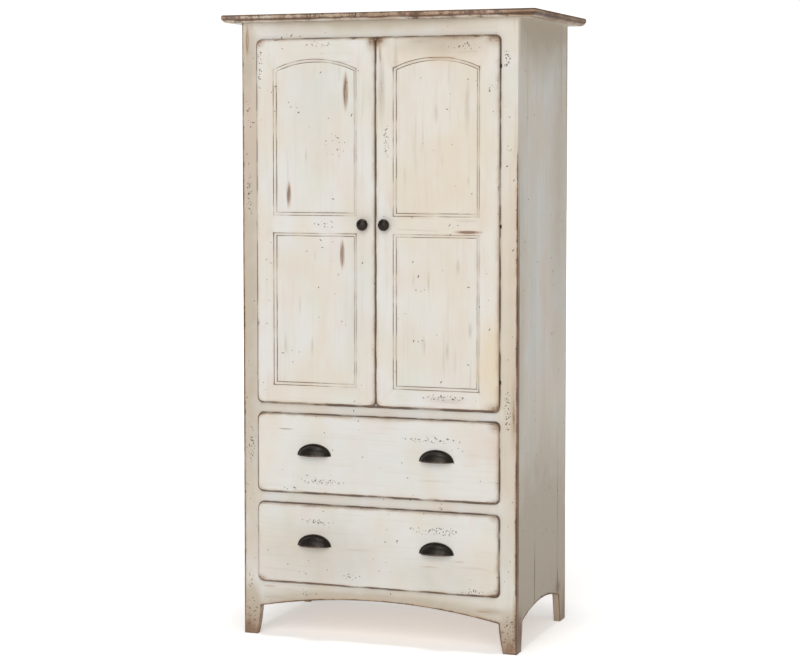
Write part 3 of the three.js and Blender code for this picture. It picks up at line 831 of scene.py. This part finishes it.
def painted(name, grain, marks, flat=(0, 2), shown=None, framed=False, cool=0.0):
    """Rubbed cream paint with brown glaze. The grain axis is where the brush went, flat
    gives the two axes of the main face, and shown gives the y where its marks end."""
    g = Graph(name)
    place = g.place()
    across, up = place[flat[0]], place[flat[1]]
    flat_place = g.vector(across, up, 0)

    facing = g.ramp(place[1], shown + 2, shown) if shown else 1
    colour = cream(g, place, cool)
    uneven = g.cloud(place, 60, 3, 0.6)
    gritty = g.cloud(place, 3.5, 3, 0.65)
    # Patches of cooler, warmer, pinker and darker paint; the darker patches on the sides, frame and crown
    # are also painted shade.
    for tone, tint in TINTS.items():
        if marks[tone]:
            amount = g.spots(flat_place, marks[tone], 0) * (0.5 + uneven)
            colour = g.mix(amount, colour, tint)
    # Brush strokes, fine and broad.
    fine = g.strokes(place, grain, 2.2, 90, 0, 3, 0.6)
    broad = g.strokes(place, grain, 9, 240, 12, 3, 0.6)
    dry = g.strokes(place, grain, 14, 200, 55)
    zone = g.strokes(place, grain, 140, 240, 23, 1)
    colour = g.mix(0.12 * g.ramp(fine, 0.45, 0.8), colour, FINE_STROKE)
    colour = g.mix(0.18 * g.ramp(broad, 0.5, 0.8), colour, BROAD_STROKE)
    dry_mask = g.ramp(dry, 0.58, 0.8) * g.ramp(zone, 0.4, 0.65)
    colour = g.mix(0.35 * dry_mask, colour, DRY_STROKE)
    # Glaze left in the corners and wiped thin beside them; it also holds painted shade on the round-overs'
    # left and lower edges, on rounded corners and round the fronts on the frame.
    glaze = g.attribute("glaze")
    wear = g.attribute("wear")
    if framed:
        glaze = g.most(glaze, glaze_and_shade_lines(g, place) * facing)
    tint = g.ramp(glaze, 0, 0.5) * g.ramp(uneven, 0.25, 0.7)
    colour = g.mix(0.4 * tint, colour, SHADED)
    # Broad washes of brown glaze that wasn't wiped off.
    if marks["brown"]:
        unwiped = g.ramp(g.strokes(place, grain, 24, 120, 66, 3, 0.65), 0.3, 0.62)
        wash = g.spots(flat_place, marks["brown"], 0) * (0.5 + 0.5 * unwiped)
        wash = wash * (0.3 + 1.4 * gritty)
        colour = g.mix(wash, colour, WASH[0])
        colour = g.mix(0.75 * g.ramp(wash, 0.45, 1.0), colour, WASH[1])
    # Rubs and faint drags.
    streaky = g.strokes(place, grain, 3, 60, 5, 2, 0.6)
    if marks["smudges"]:
        smudge = g.spots(flat_place, marks["smudges"], 0) * facing
        colour = g.mix(0.45 * smudge * g.ramp(streaky, 0.25, 0.6), colour, SMUDGE)
    if marks["rubs"]:
        rubbed = g.spots(flat_place, marks["rubs"]) * facing * g.ramp(streaky, 0.12, 0.55)
        colour = g.mix(0.5 * g.ramp(rubbed, 0.02, 0.5), colour, RUBBED[0])
        colour = g.mix(0.8 * g.ramp(rubbed, 0.35, 0.95), colour, RUBBED[1])
    # Small dark holes, in groups and singly.
    density = g.ramp(g.noise(g.vector(across / 80, up / 120, 9), 1), 0.58, 0.8) * 0.05 + 0.004
    if marks["specks"]:
        density = g.most(density, g.spots(flat_place, marks["specks"], 0.5, 1.25))
    holes = small_holes(g, across, up, gritty, density * facing)
    # Paint rubbed through along the edges, and dark glaze in the corners.
    edge_noise = g.cloud(place, 26, 4, 0.7)
    slow = g.cloud(place, 230, 1)
    paint_left = edge_noise * 0.9 + (gritty - 0.5) * 0.5 + (slow - 0.5) * 0.9
    worn_through = g.ramp(wear + paint_left, 0.98, 1.25)
    wood_tone = g.mix(g.ramp(edge_noise, 0.4, 0.62), BARE[0], BARE[1])
    soft_edge = g.ramp(wear, 0.05, 0.7) * g.ramp(uneven, 0.3, 0.7)
    colour = g.mix(0.7 * soft_edge, colour, THIN)
    colour = g.mix(0.85 * worn_through, colour, wood_tone)
    kept = 0.6 + 0.6 * g.ramp(g.cloud(place, 75), 0.36, 0.62)
    settled = glaze * kept + (gritty - 0.5) * 0.35
    colour = g.mix(0.85 * g.ramp(settled, 0.4, 0.95), colour, GLAZE)
    colour = g.mix(0.6 * g.ramp(settled, 1.1, 1.8), colour, HOLE)
    colour = g.mix(0.85 * holes, colour, HOLE)
    # Feet and lower edges have gathered dirt.
    low = g.ramp(place[2] + uneven * 40, 150, 0)
    colour = g.mix(0.5 * low, colour, DIRT)
    height = fine * 0.25 + broad * 0.3 - holes * 1.2 - worn_through * 0.5
    g.bump(height, 0.25, 0.5)
    roughness = 0.46 + 0.14 * fine + 0.2 * holes + 0.12 * worn_through
    return g.finish(colour, roughness, specular=0.35)


def wood(name, grain, light, dark):
    """Clear-finished board wood with its grain along one axis."""
    g = Graph(name)
    place = g.place()
    figure = g.strokes(place, grain, 22, 330, 0, 3, 0.55, 0.6)
    rings = abs(g.math("SINE", figure * 46))
    pores = g.strokes(place, grain, 1.1, 26, 9, 2, 0.6)
    tone = g.strokes(place, grain, 120, 400, 30, 1)
    colour = g.mix(g.ramp(tone, 0.3, 0.7), light, dark)
    colour = g.mix(0.3 * g.ramp(rings, 0.5, 1), colour, LATE_WOOD)
    colour = g.mix(0.35 * g.ramp(pores, 0.55, 0.75), colour, PORES)
    g.bump(rings * 0.3 + pores * 0.5, 0.15, 0.35)
    return g.finish(colour, 0.42 + 0.12 * pores, specular=0.4)


def metal(name, dark, worn, roughness):
    """Dark rubbed metal, a little brighter where it is handled."""
    g = Graph(name)
    place = g.place()
    cloud = g.cloud(place, 9, 3, 0.6)
    grain = g.cloud(place, 0.8, 2, 0.6)
    wear = g.attribute("wear")
    bright = g.ramp(wear + (cloud - 0.5) * 0.7, 0.45, 1.0)
    colour = g.mix(0.6 * bright, dark, worn)
    colour = g.mix(0.12 * g.ramp(cloud, 0.4, 0.7), colour, worn)
    g.bump(cloud * 0.6 + grain * 0.3, 0.12, 0.3)
    return g.finish(colour, roughness + 0.14 * cloud + 0.06 * grain, metallic=0.7)


# ------------------------------------------------------------------- main places

stile_low, stile_high = box_mm("face_frame_stile_left")
CASE_LEFT = stile_low.x
FRAME_FACE = stile_low.y
FRAME_BACK = stile_high.y
CASE_TOP = stile_high.z
OPENING = -stile_high.x  # half the width of the frame's openings
side_low, side_high = box_mm("side_panel_left")
CASE_REAR = side_high.y
door_low, door_high = box_mm("left_door_hinge_stile")
DOOR_LEFT = door_low.x
DOOR_FACE = door_low.y
DOOR_BOTTOM, DOOR_TOP = door_low.z, door_high.z
DOOR_RIGHT = box_mm("left_door_meeting_stile")[1].x
STILE_WIDTH = door_high.x - door_low.x
FRONT_BOXES = [(-DOOR_LEFT, DOOR_BOTTOM, DOOR_TOP)]
for level in ("upper", "lower"):
    low, high = box_mm(f"{level}_drawer_front")
    FRONT_BOXES.append((high.x, low.z, high.z))

DOOR_SHOWN = DOOR_FACE + PANEL_DEPTH + 1
FRAME_SHOWN = FRAME_FACE + 2
PAINT_UPRIGHT = painted("paint_upright", 2, DOOR_MARKS, shown=DOOR_SHOWN)
PAINT_LEVEL = painted("paint_level", 0, DOOR_MARKS, shown=DOOR_SHOWN)
PAINT_DRAWER = painted("paint_drawer", 0, DRAWER_MARKS, shown=DOOR_SHOWN, cool=0.1)
PAINT_FRAME_UPRIGHT = painted("paint_frame_upright", 2, FRAME_MARKS, shown=FRAME_SHOWN, framed=True)
PAINT_FRAME_LEVEL = painted("paint_frame_level", 0, FRAME_MARKS, shown=FRAME_SHOWN, framed=True)
PAINT_SIDE = painted("paint_side", 2, SIDE_MARKS, flat=(1, 2))
PAINT_TOP = painted("paint_top", 0, TOP_MARKS, flat=(0, 1))
WOOD_DEEP = wood("wood_deep", 1, linear(214, 180, 136), linear(198, 160, 114))
WOOD_WIDE = wood("wood_wide", 0, linear(216, 182, 138), linear(200, 162, 116))
WOOD_TALL = wood("plywood_tall", 2, linear(206, 172, 128), linear(190, 152, 108))
BRONZE = metal("bronze", linear(40, 37, 33), linear(118, 98, 86), 0.33)
HINGE = metal("hinge_metal", linear(58, 48, 36), linear(130, 108, 76), 0.4)

# -------------------------------------------------------------------- face frame


def apron_arch():
    """The arch under the front, from foot to foot."""
    half = -CASE_LEFT - FRONT_FOOT["top"]
    return arch_points(-half, half, FOOT_HEIGHT, APRON_RISE)


def apron_height(x):
    half = -CASE_LEFT - FRONT_FOOT["top"]
    radius = (half ** 2 + APRON_RISE ** 2) / (2 * APRON_RISE)
    return FOOT_HEIGHT + APRON_RISE - radius + math.sqrt(radius ** 2 - x ** 2)


def face_frame():
    thickness = FRAME_BACK - FRAME_FACE
    profiles = board_profiles(thickness, 0.95, 0.85)
    place = facing_front(FRAME_FACE)
    left = CASE_LEFT
    foot = bent(
        (left + FRONT_FOOT["bottom"], 0),
        (left + FRONT_FOOT["bend"][0], FRONT_FOOT["bend"][1]),
        (left + FRONT_FOOT["top"], FOOT_HEIGHT),
        6,
    )
    outline = edge_list(
        ("worn", [(left, 0)] + foot),
        ("square", [(-OPENING, apron_height(OPENING)), (-OPENING, CASE_TOP)]),
        ("worn", [(left, CASE_TOP)]),
    )
    board("frame_stile_left", outline, profiles, place, "case", "face_frame_stile_left",
          PAINT_FRAME_UPRIGHT)
    board("frame_stile_right", flipped(outline), profiles, place, "case", "face_frame_stile_right",
          PAINT_FRAME_UPRIGHT)
    half = OPENING - RAIL_GAP
    for rail in ("top", "middle", "lower"):
        low, high = box_mm(f"face_frame_rail_{rail}")
        outline = edge_list(("square", oblong(-half, low.z, half, high.z)))
        board(f"frame_rail_{rail}", outline, profiles, place, "case", f"face_frame_rail_{rail}",
              PAINT_FRAME_LEVEL)
    top = box_mm("arched_apron")[1].z
    inner = [(x, z) for x, z in apron_arch() if abs(x) < half - 8]
    outline = edge_list(
        ("worn", [(-half, apron_height(half))] + inner),
        ("square", [(half, apron_height(half)), (half, top), (-half, top)]),
    )
    board("apron", outline, profiles, place, "case", "arched_apron", PAINT_FRAME_LEVEL)


# --------------------------------------------------------------------- the sides


def side_bottom():
    """The lower edge of a side, front to rear, in (distance behind the frame's face, z)."""
    depth = CASE_REAR - FRAME_FACE
    rear_top = depth - SIDE_FOOT["rear_top"]
    rear_bottom = depth - SIDE_FOOT["rear_bottom"]
    return (
        [(SIDE_FOOT["front_bottom"], 0)]
        + arch_points(SIDE_FOOT["front_top"], rear_top, FOOT_HEIGHT, SIDE_RISE)
        + [(rear_bottom, 0)]
    )


def height_on(path, u):
    for (u0, v0), (u1, v1) in zip(path, path[1:]):
        if u0 <= u <= u1:
            return v0 + (v1 - v0) * (u - u0) / (u1 - u0)
    return 0


def side_panels():
    """Each side is four boards glued edge to edge, with a fine groove at each joint."""
    thickness = side_high.x - side_low.x
    profiles = board_profiles(thickness, 1.0, 0.7)
    path = side_bottom()
    front = FRAME_BACK - FRAME_FACE
    rear = CASE_REAR - FRAME_FACE
    cuts = [front, *SIDE_SEAMS, rear]
    for side, sign in (("left", -1), ("right", 1)):
        bm = bmesh.new()
        place = facing_side(sign * -side_low.x, -sign)
        for start, end in zip(cuts, cuts[1:]):
            clear_start, clear_end = start + CLEAR_OF_SEAM, end - CLEAR_OF_SEAM
            floor_edge = [(u, v) for u, v in path if clear_start < u < clear_end]
            if start < path[0][0]:
                floor_edge = [(start, 0)] + floor_edge
            else:
                floor_edge = [(start, height_on(path, start))] + floor_edge
            corner = (end, 0 if end > path[-1][0] else height_on(path, end))
            rear_kind = "worn" if end == rear else "seam"
            front_kind = "square" if start == front else "seam"
            outline = edge_list(
                ("worn", floor_edge),
                (rear_kind, [corner]),
                ("square", [(end, CASE_TOP)]),
                (front_kind, [(start, CASE_TOP)]),
            )
            add_board(bm, outline, profiles, place)
        piece = finish_mesh(bm, f"side_{side}")
        show(piece, "case", f"side_panel_{side}", PAINT_SIDE)


# --------------------------------------------------------------------- the crown


def crown_path(low, high, inset, corner=6):
    """The crown's outline, drawn in by the inset along its front and ends."""
    half = high.x - inset
    front = low.y + inset
    radius = max(corner - inset, 1)
    start = front + radius
    steps_across, steps_back = 60, 34
    path = arc((-half + radius, start), radius, math.pi, 1.5 * math.pi, 6)
    for i in range(1, steps_across):
        path.append((-half + radius + (2 * half - 2 * radius) * i / steps_across, front))
    path += arc((half - radius, start), radius, 1.5 * math.pi, 2 * math.pi, 6)
    for i in range(1, steps_back + 1):
        path.append((half, start + (high.y - front - radius) * i / steps_back))
    for i in range(steps_back):
        path.append((-half, high.y - (high.y - front - radius) * i / steps_back))
    return path


def crown():
    """The overhanging top: a half-round nosing over a small quarter-round."""
    low, high = box_mm("crown_board")
    nosing_round, ovolo_width, nosing_height = 4, 15, 13.6
    ovolo_height = high.z - low.z - nosing_height
    rings = []

    def ring(inset, z, wear, glaze, dark_end=0.0):
        made = []
        for x, y in crown_path(low, high, inset):
            lost = dent(Vector((x, y, 40))) * 1.2 if wear > WORN_AWAY else 0
            pull = 1 - lost / 400
            # the right end and its corner are darker than the rest: a darker finish and painted shade on
            # the less lit end
            darker = dark_end * min(1, max(0, (x - 300) / 110))
            made.append(((x * pull, y if y == high.y else y * pull, z), wear, glaze + darker))
        rings.append(made)

    ring(nosing_round + ovolo_width + 30, low.z, 0, 0)
    ring(nosing_round + ovolo_width + 3, low.z, 0, 0.3)
    # the quarter-round under the nosing is worn and glazed darker: partly its finish, partly painted shade
    # under the overhang
    for i in range(7):
        turn = math.pi / 2 * i / 6
        inset = nosing_round + 0.2 + ovolo_width * (1 - math.sin(turn))
        glaze = (0.8, 0.45, 0.35, 0.35, 0.45, 0.8, 1.2)[i]
        ring(inset, low.z + ovolo_height * (1 - math.cos(turn)), 0.55, glaze, 0.15)
    middle = high.z - nosing_height / 2
    for i in range(13):
        turn = math.pi * (i / 12 - 0.5)
        inset = nosing_round * (1 - math.cos(turn))
        wear = 0.58 + 0.45 * abs(math.sin(turn)) ** 2
        glaze = max(0, 1.3 - i * 0.3, i * 0.4 - 2.7)
        dark_end = 0.3 if 6 <= i <= 8 else 0.75
        ring(inset, middle + nosing_height / 2 * math.sin(turn), wear, glaze, dark_end)
    ring(nosing_round + 3, high.z, 0.45, 0)
    ring(nosing_round + 14, high.z, 0.05, 0)
    bm = bmesh.new()
    skin(bm, rings)
    show(finish_mesh(bm, "crown"), "case", "crown_board", PAINT_TOP)


# --------------------------------------------------------------------- the doors


def door_outlines():
    """The left door's frame pieces, as outlines seen from the front."""
    left, right = DOOR_LEFT, DOOR_RIGHT
    joint = left + STILE_WIDTH
    face = joint - STICKING_WIDTH
    far_joint, far_face = right - STILE_WIDTH, right - STILE_WIDTH + STICKING_WIDTH
    lower_low, lower_high = box_mm("left_door_lower_panel")
    upper_low, upper_high = box_mm("left_door_upper_panel")
    lower_bottom, lower_top = lower_low.z - PANEL_GAP, lower_high.z + PANEL_GAP
    upper_bottom, apex = upper_low.z - PANEL_GAP, upper_high.z + PANEL_GAP
    spring = apex - ARCH_RISE
    arch = arch_points(face, far_face, spring, ARCH_RISE)
    # the arch where it crosses the line of the joint with the stile
    slope = (arch[1][1] - arch[0][1]) / (arch[1][0] - arch[0][0])
    crossing = (joint, spring + slope * (joint - face))
    far_crossing = (far_joint, crossing[1])
    top_corner = quarter(left + FRONT_CORNER, DOOR_TOP - FRONT_CORNER, 0.5)
    bottom_corner = quarter(left + FRONT_CORNER, DOOR_BOTTOM + FRONT_CORNER, 1)
    stile = edge_list(
        ("round", [bottom_corner[-1]]),
        ("square", [(joint, DOOR_BOTTOM)]),
        ("stick", [(joint, lower_bottom), (face, lower_bottom), (face, lower_top)]),
        ("square", [(joint, lower_top)]),
        ("stick", [(joint, upper_bottom), (face, upper_bottom), (face, spring)]),
        ("square", [crossing]),
        ("round", [(joint, DOOR_TOP)] + top_corner + bottom_corner[:-1]),
    )
    middle = (left + right) / 2

    def rail(low, high, outer):
        kinds = (outer, "square", "stick", "square")
        corners = oblong(joint, low, far_joint, high)
        return edge_list(*((kind, [corner]) for kind, corner in zip(kinds, corners)))

    panel_left, panel_right = face + PANEL_GAP, far_face - PANEL_GAP
    panel_low = upper_bottom + PANEL_GAP
    panel_arch = arch_points(panel_left, panel_right, spring - PANEL_GAP, ARCH_RISE)
    lower_panel = oblong(panel_left, lower_bottom + PANEL_GAP, panel_right, lower_top - PANEL_GAP)
    upper_panel = [(panel_left, panel_low), (panel_right, panel_low), *reversed(panel_arch)]
    return {
        "hinge_stile": stile,
        "meeting_stile": flipped(stile, middle),
        "bottom_rail": rail(DOOR_BOTTOM, lower_bottom, "round"),
        "middle_rail": rail(lower_top, upper_bottom, "stick"),
        "top_rail": edge_list(
            ("stick", [crossing] + arch[1:-1]),
            ("square", [far_crossing]),
            ("round", [(far_joint, DOOR_TOP)]),
            ("square", [(joint, DOOR_TOP)]),
        ),
        "lower_panel": edge_list(("tongue", lower_panel)),
        "upper_panel": edge_list(("tongue", upper_panel)),
    }


def doors():
    edges = front_profiles()
    panel_edges = panel_profiles()
    for name, outline in door_outlines().items():
        is_panel = name.endswith("panel")
        face = DOOR_FACE + (PANEL_DEPTH if is_panel else 0)
        material = PAINT_LEVEL if name.endswith("rail") else PAINT_UPRIGHT
        profiles = panel_edges if is_panel else edges
        for side in ("left", "right"):
            shape = outline if side == "left" else flipped(outline)
            body = f"{side}_door"
            node = f"{body}_{name}"
            board(f"{side}_{name}", shape, profiles, facing_front(face), body, node, material)


# ------------------------------------------------------------------- the drawers


def drawer_fronts():
    edges = front_profiles()
    for level in ("upper", "lower"):
        low, high = box_mm(f"{level}_drawer_front")
        left, right = low.x + FRONT_CORNER, high.x - FRONT_CORNER
        bottom, top = low.z + FRONT_CORNER, high.z - FRONT_CORNER
        points = (
            quarter(right, bottom, -0.5)
            + quarter(right, top, 0)
            + quarter(left, top, 0.5)
            + quarter(left, bottom, 1)
        )
        outline = edge_list(("round", points))
        body = f"{level}_drawer"
        place = facing_front(low.y)
        board(f"{level}_front", outline, edges, place, body, f"{body}_front", PAINT_DRAWER)


# -------------------------------------------------------------- plain CAD boards


def eased_copy(name, node, width, body, material):
    """A CAD solid with its sharp corners eased."""
    bm = bmesh.new()
    bm.from_mesh(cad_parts[node].data)
    bmesh.ops.remove_doubles(bm, verts=bm.verts, dist=WELD)
    bmesh.ops.dissolve_limit(bm, angle_limit=math.radians(1), verts=bm.verts, edges=bm.edges)
    least = math.radians(SHARP_ANGLE)
    sharp = [e for e in bm.edges if len(e.link_faces) == 2 and e.calc_face_angle() > least]
    bmesh.ops.bevel(bm, geom=sharp, offset=width * MM, segments=2, profile=0.5, affect="EDGES",
                    clamp_overlap=True)
    show(finish_mesh(bm, name), body, node, material)


def inner_boards():
    for node in ("bottom_deck", "cabinet_floor", "fixed_shelf"):
        eased_copy(f"{node}_board", node, 0.8, "case", WOOD_WIDE)
    eased_copy("back_sheet", "back_panel", 0.3, "case", WOOD_TALL)
    for level in ("upper", "lower"):
        drawer = f"{level}_drawer"
        for side in ("left", "right"):
            runner, box_side = f"{drawer}_runner_{side}", f"{drawer}_side_{side}"
            eased_copy(f"{level}_runner_{side}", runner, 0.8, "case", WOOD_DEEP)
            eased_copy(f"{level}_box_side_{side}", box_side, 1.0, drawer, WOOD_DEEP)
        eased_copy(f"{level}_box_back", f"{drawer}_back", 1.0, drawer, WOOD_WIDE)
        eased_copy(f"{level}_box_bottom", f"{drawer}_bottom", 0.3, drawer, WOOD_WIDE)


def hinges():
    for side in ("left", "right"):
        for level in ("upper", "middle", "lower"):
            for leaf, body in (("frame", "case"), ("door", f"{side}_door")):
                node = f"{side}_{level}_hinge_{leaf}_leaf"
                eased_copy(f"{side}_{level}_{leaf}_leaf", node, 0.2, body, HINGE)


# ---------------------------------------------------------------- knobs and pulls


def knobs():
    outline = [
        (8.2, 0, 0.3), (9, 0.6, 0.6), (9, 1.6, 0.5), (7.4, 3.2, 0.1), (6.4, 5.4, 0), (6.5, 8.2, 0),
        (9.2, 10.4, 0.1), (13.4, 11.6, 0.4), (15.6, 12.8, 0.9), (16, 14.2, 1), (15.5, 16.3, 0.8),
        (13.2, 19.7, 0.35), (9.4, 22.9, 0.25), (5, 25.1, 0.3), (0.02, 26, 0.35),
    ]
    for side in ("left", "right"):
        low, high = box_mm(f"{side}_door_knob")
        centre = ((low.x + high.x) / 2, high.y, (low.z + high.z) / 2)
        bm = bmesh.new()
        turned(bm, [(0.02, 0, 0)] + through(outline), centre, (0, -1, 0), 48)
        piece = finish_mesh(bm, f"{side}_knob", SHARP_ANGLE_METAL)
        show(piece, f"{side}_door", f"{side}_door_knob", BRONZE)


def pull_rib(low, high, angle):
    """A slice of a cup pull: over its flange and its dome, and back along the inside."""
    flange, wall, steps = 4.5, 2, 12
    middle = (low.x + high.x) / 2
    half, tall, reach = (high.x - low.x) / 2, high.z - low.z, high.y - low.y
    cos, sin = math.cos(angle), max(math.sin(angle), 0)
    rib = []

    def at(radius_x, radius_z, y, wear):
        x = middle + radius_x * cos
        rib.append(((x, high.y - y, low.z + radius_z * sin), wear, 0))

    at(half, tall, 0, 0.5)
    at(half, tall, 1.3, 0.8)
    at(half - 0.7, tall - 0.7, 2, 1)
    at(half - 3, tall - 3, 2, 0.35)
    inner_x, inner_z = half - flange, tall - flange
    for k in range(steps + 1):
        turn = math.pi / 2 * k / steps
        y = max(2 * (1 - k / 3), 0) * 0.6 + reach * math.sin(turn) * sin
        wear = {steps: 1, steps - 1: 0.75}.get(k, 0.15)
        at(inner_x, inner_z * math.cos(turn), min(max(y, 1.0), reach), wear)
    for k in range(steps, -1, -1):
        turn = math.pi / 2 * k / steps
        y = (reach - wall) * math.sin(turn) * sin
        at(inner_x - wall, (inner_z - wall) * math.cos(turn), y, 0.1)
    return rib


def pulls():
    """Half-dome cup pulls with a flat flange round the top, open below."""
    slices = 56
    for level in ("upper", "lower"):
        for side in ("left", "right"):
            node = f"{level}_drawer_pull_{side}"
            low, high = box_mm(node)
            bm = bmesh.new()
            skin(bm, [pull_rib(low, high, math.pi * i / slices) for i in range(slices + 1)])
            piece = finish_mesh(bm, f"{level}_pull_{side}", SHARP_ANGLE_METAL)
            show(piece, f"{level}_drawer", node, BRONZE)


# ------------------------------------------------------------------ the studio


def floor():
    """A plain pale floor that brightens into white a little way from the object."""
    g = Graph("floor")
    place = g.place()
    cloud = g.cloud(place, 900)
    away = g.math("SQRT", place[0] * place[0] + place[1] * place[1])
    g.finish(g.mix(cloud, linear(244, 244, 243), linear(247, 247, 246)), 0.8, specular=0.1)
    g.shader.inputs["Emission Color"].default_value = (1, 1, 1, 1)
    path = g.node("ShaderNodeLightPath")
    seen = Wire(g, path.outputs["Is Camera Ray"])
    glow = g.ramp(away, 500, 2600) * GLOW_FAR + GLOW_NEAR
    g.feed(g.shader.inputs["Emission Strength"], glow + seen * GLOW_SEEN)
    bm = bmesh.new()
    bmesh.ops.create_grid(bm, x_segments=8, y_segments=8, size=40)
    mesh = bpy.data.meshes.new("floor")
    bm.to_mesh(mesh)
    bm.free()
    mesh.materials.append(g.material)
    in_scene("floor", mesh)


def sun(name, height, strength, spread, colour):
    """A light from the front and a little from the right."""
    light = bpy.data.lights.new(name, "SUN")
    light.energy = strength
    light.angle = math.radians(spread)
    light.color = colour
    turn = (math.radians(90 - height), 0, math.radians(KEY_SIDE))
    in_scene(name, light).rotation_euler = turn


def surroundings():
    """Pale light from all round, in front of a white backdrop."""
    world = bpy.data.worlds.new("studio")
    bpy.context.scene.world = world
    world.use_nodes = True
    tree = world.node_tree
    tree.nodes.clear()
    output = tree.nodes.new("ShaderNodeOutputWorld")
    background = tree.nodes.new("ShaderNodeBackground")
    tree.links.new(background.outputs[0], output.inputs["Surface"])
    background.inputs["Color"].default_value = (1, 0.985, 0.955, 1)
    path = tree.nodes.new("ShaderNodeLightPath")
    amount = tree.nodes.new("ShaderNodeMapRange")
    tree.links.new(path.outputs["Is Camera Ray"], amount.inputs["Value"])
    amount.inputs["To Min"].default_value = AMBIENT
    amount.inputs["To Max"].default_value = BACKDROP
    tree.links.new(amount.outputs[0], background.inputs["Strength"])


def camera():
    data = bpy.data.cameras.new("camera")
    data.sensor_width = 36
    data.lens = LENS
    data.shift_x, data.shift_y = LENS_SHIFT
    data.clip_end = 200
    eye = in_scene("camera", data)
    eye.location = Vector(EYE) * MM
    eye.rotation_euler = [math.radians(angle) for angle in (90 - TILT_DOWN, ROLL, SWING)]
    bpy.context.scene.camera = eye


face_frame()
side_panels()
crown()
doors()
drawer_fronts()
inner_boards()
hinges()
knobs()
pulls()
floor()
sun("key", KEY_HEIGHT, KEY_STRENGTH, KEY_SPREAD, (1, 0.995, 0.985))
sun("above", ABOVE_HEIGHT, ABOVE_STRENGTH, ABOVE_SPREAD, (1, 1, 1))
surroundings()
camera()
bpy.context.scene.view_settings.view_transform = "Standard"
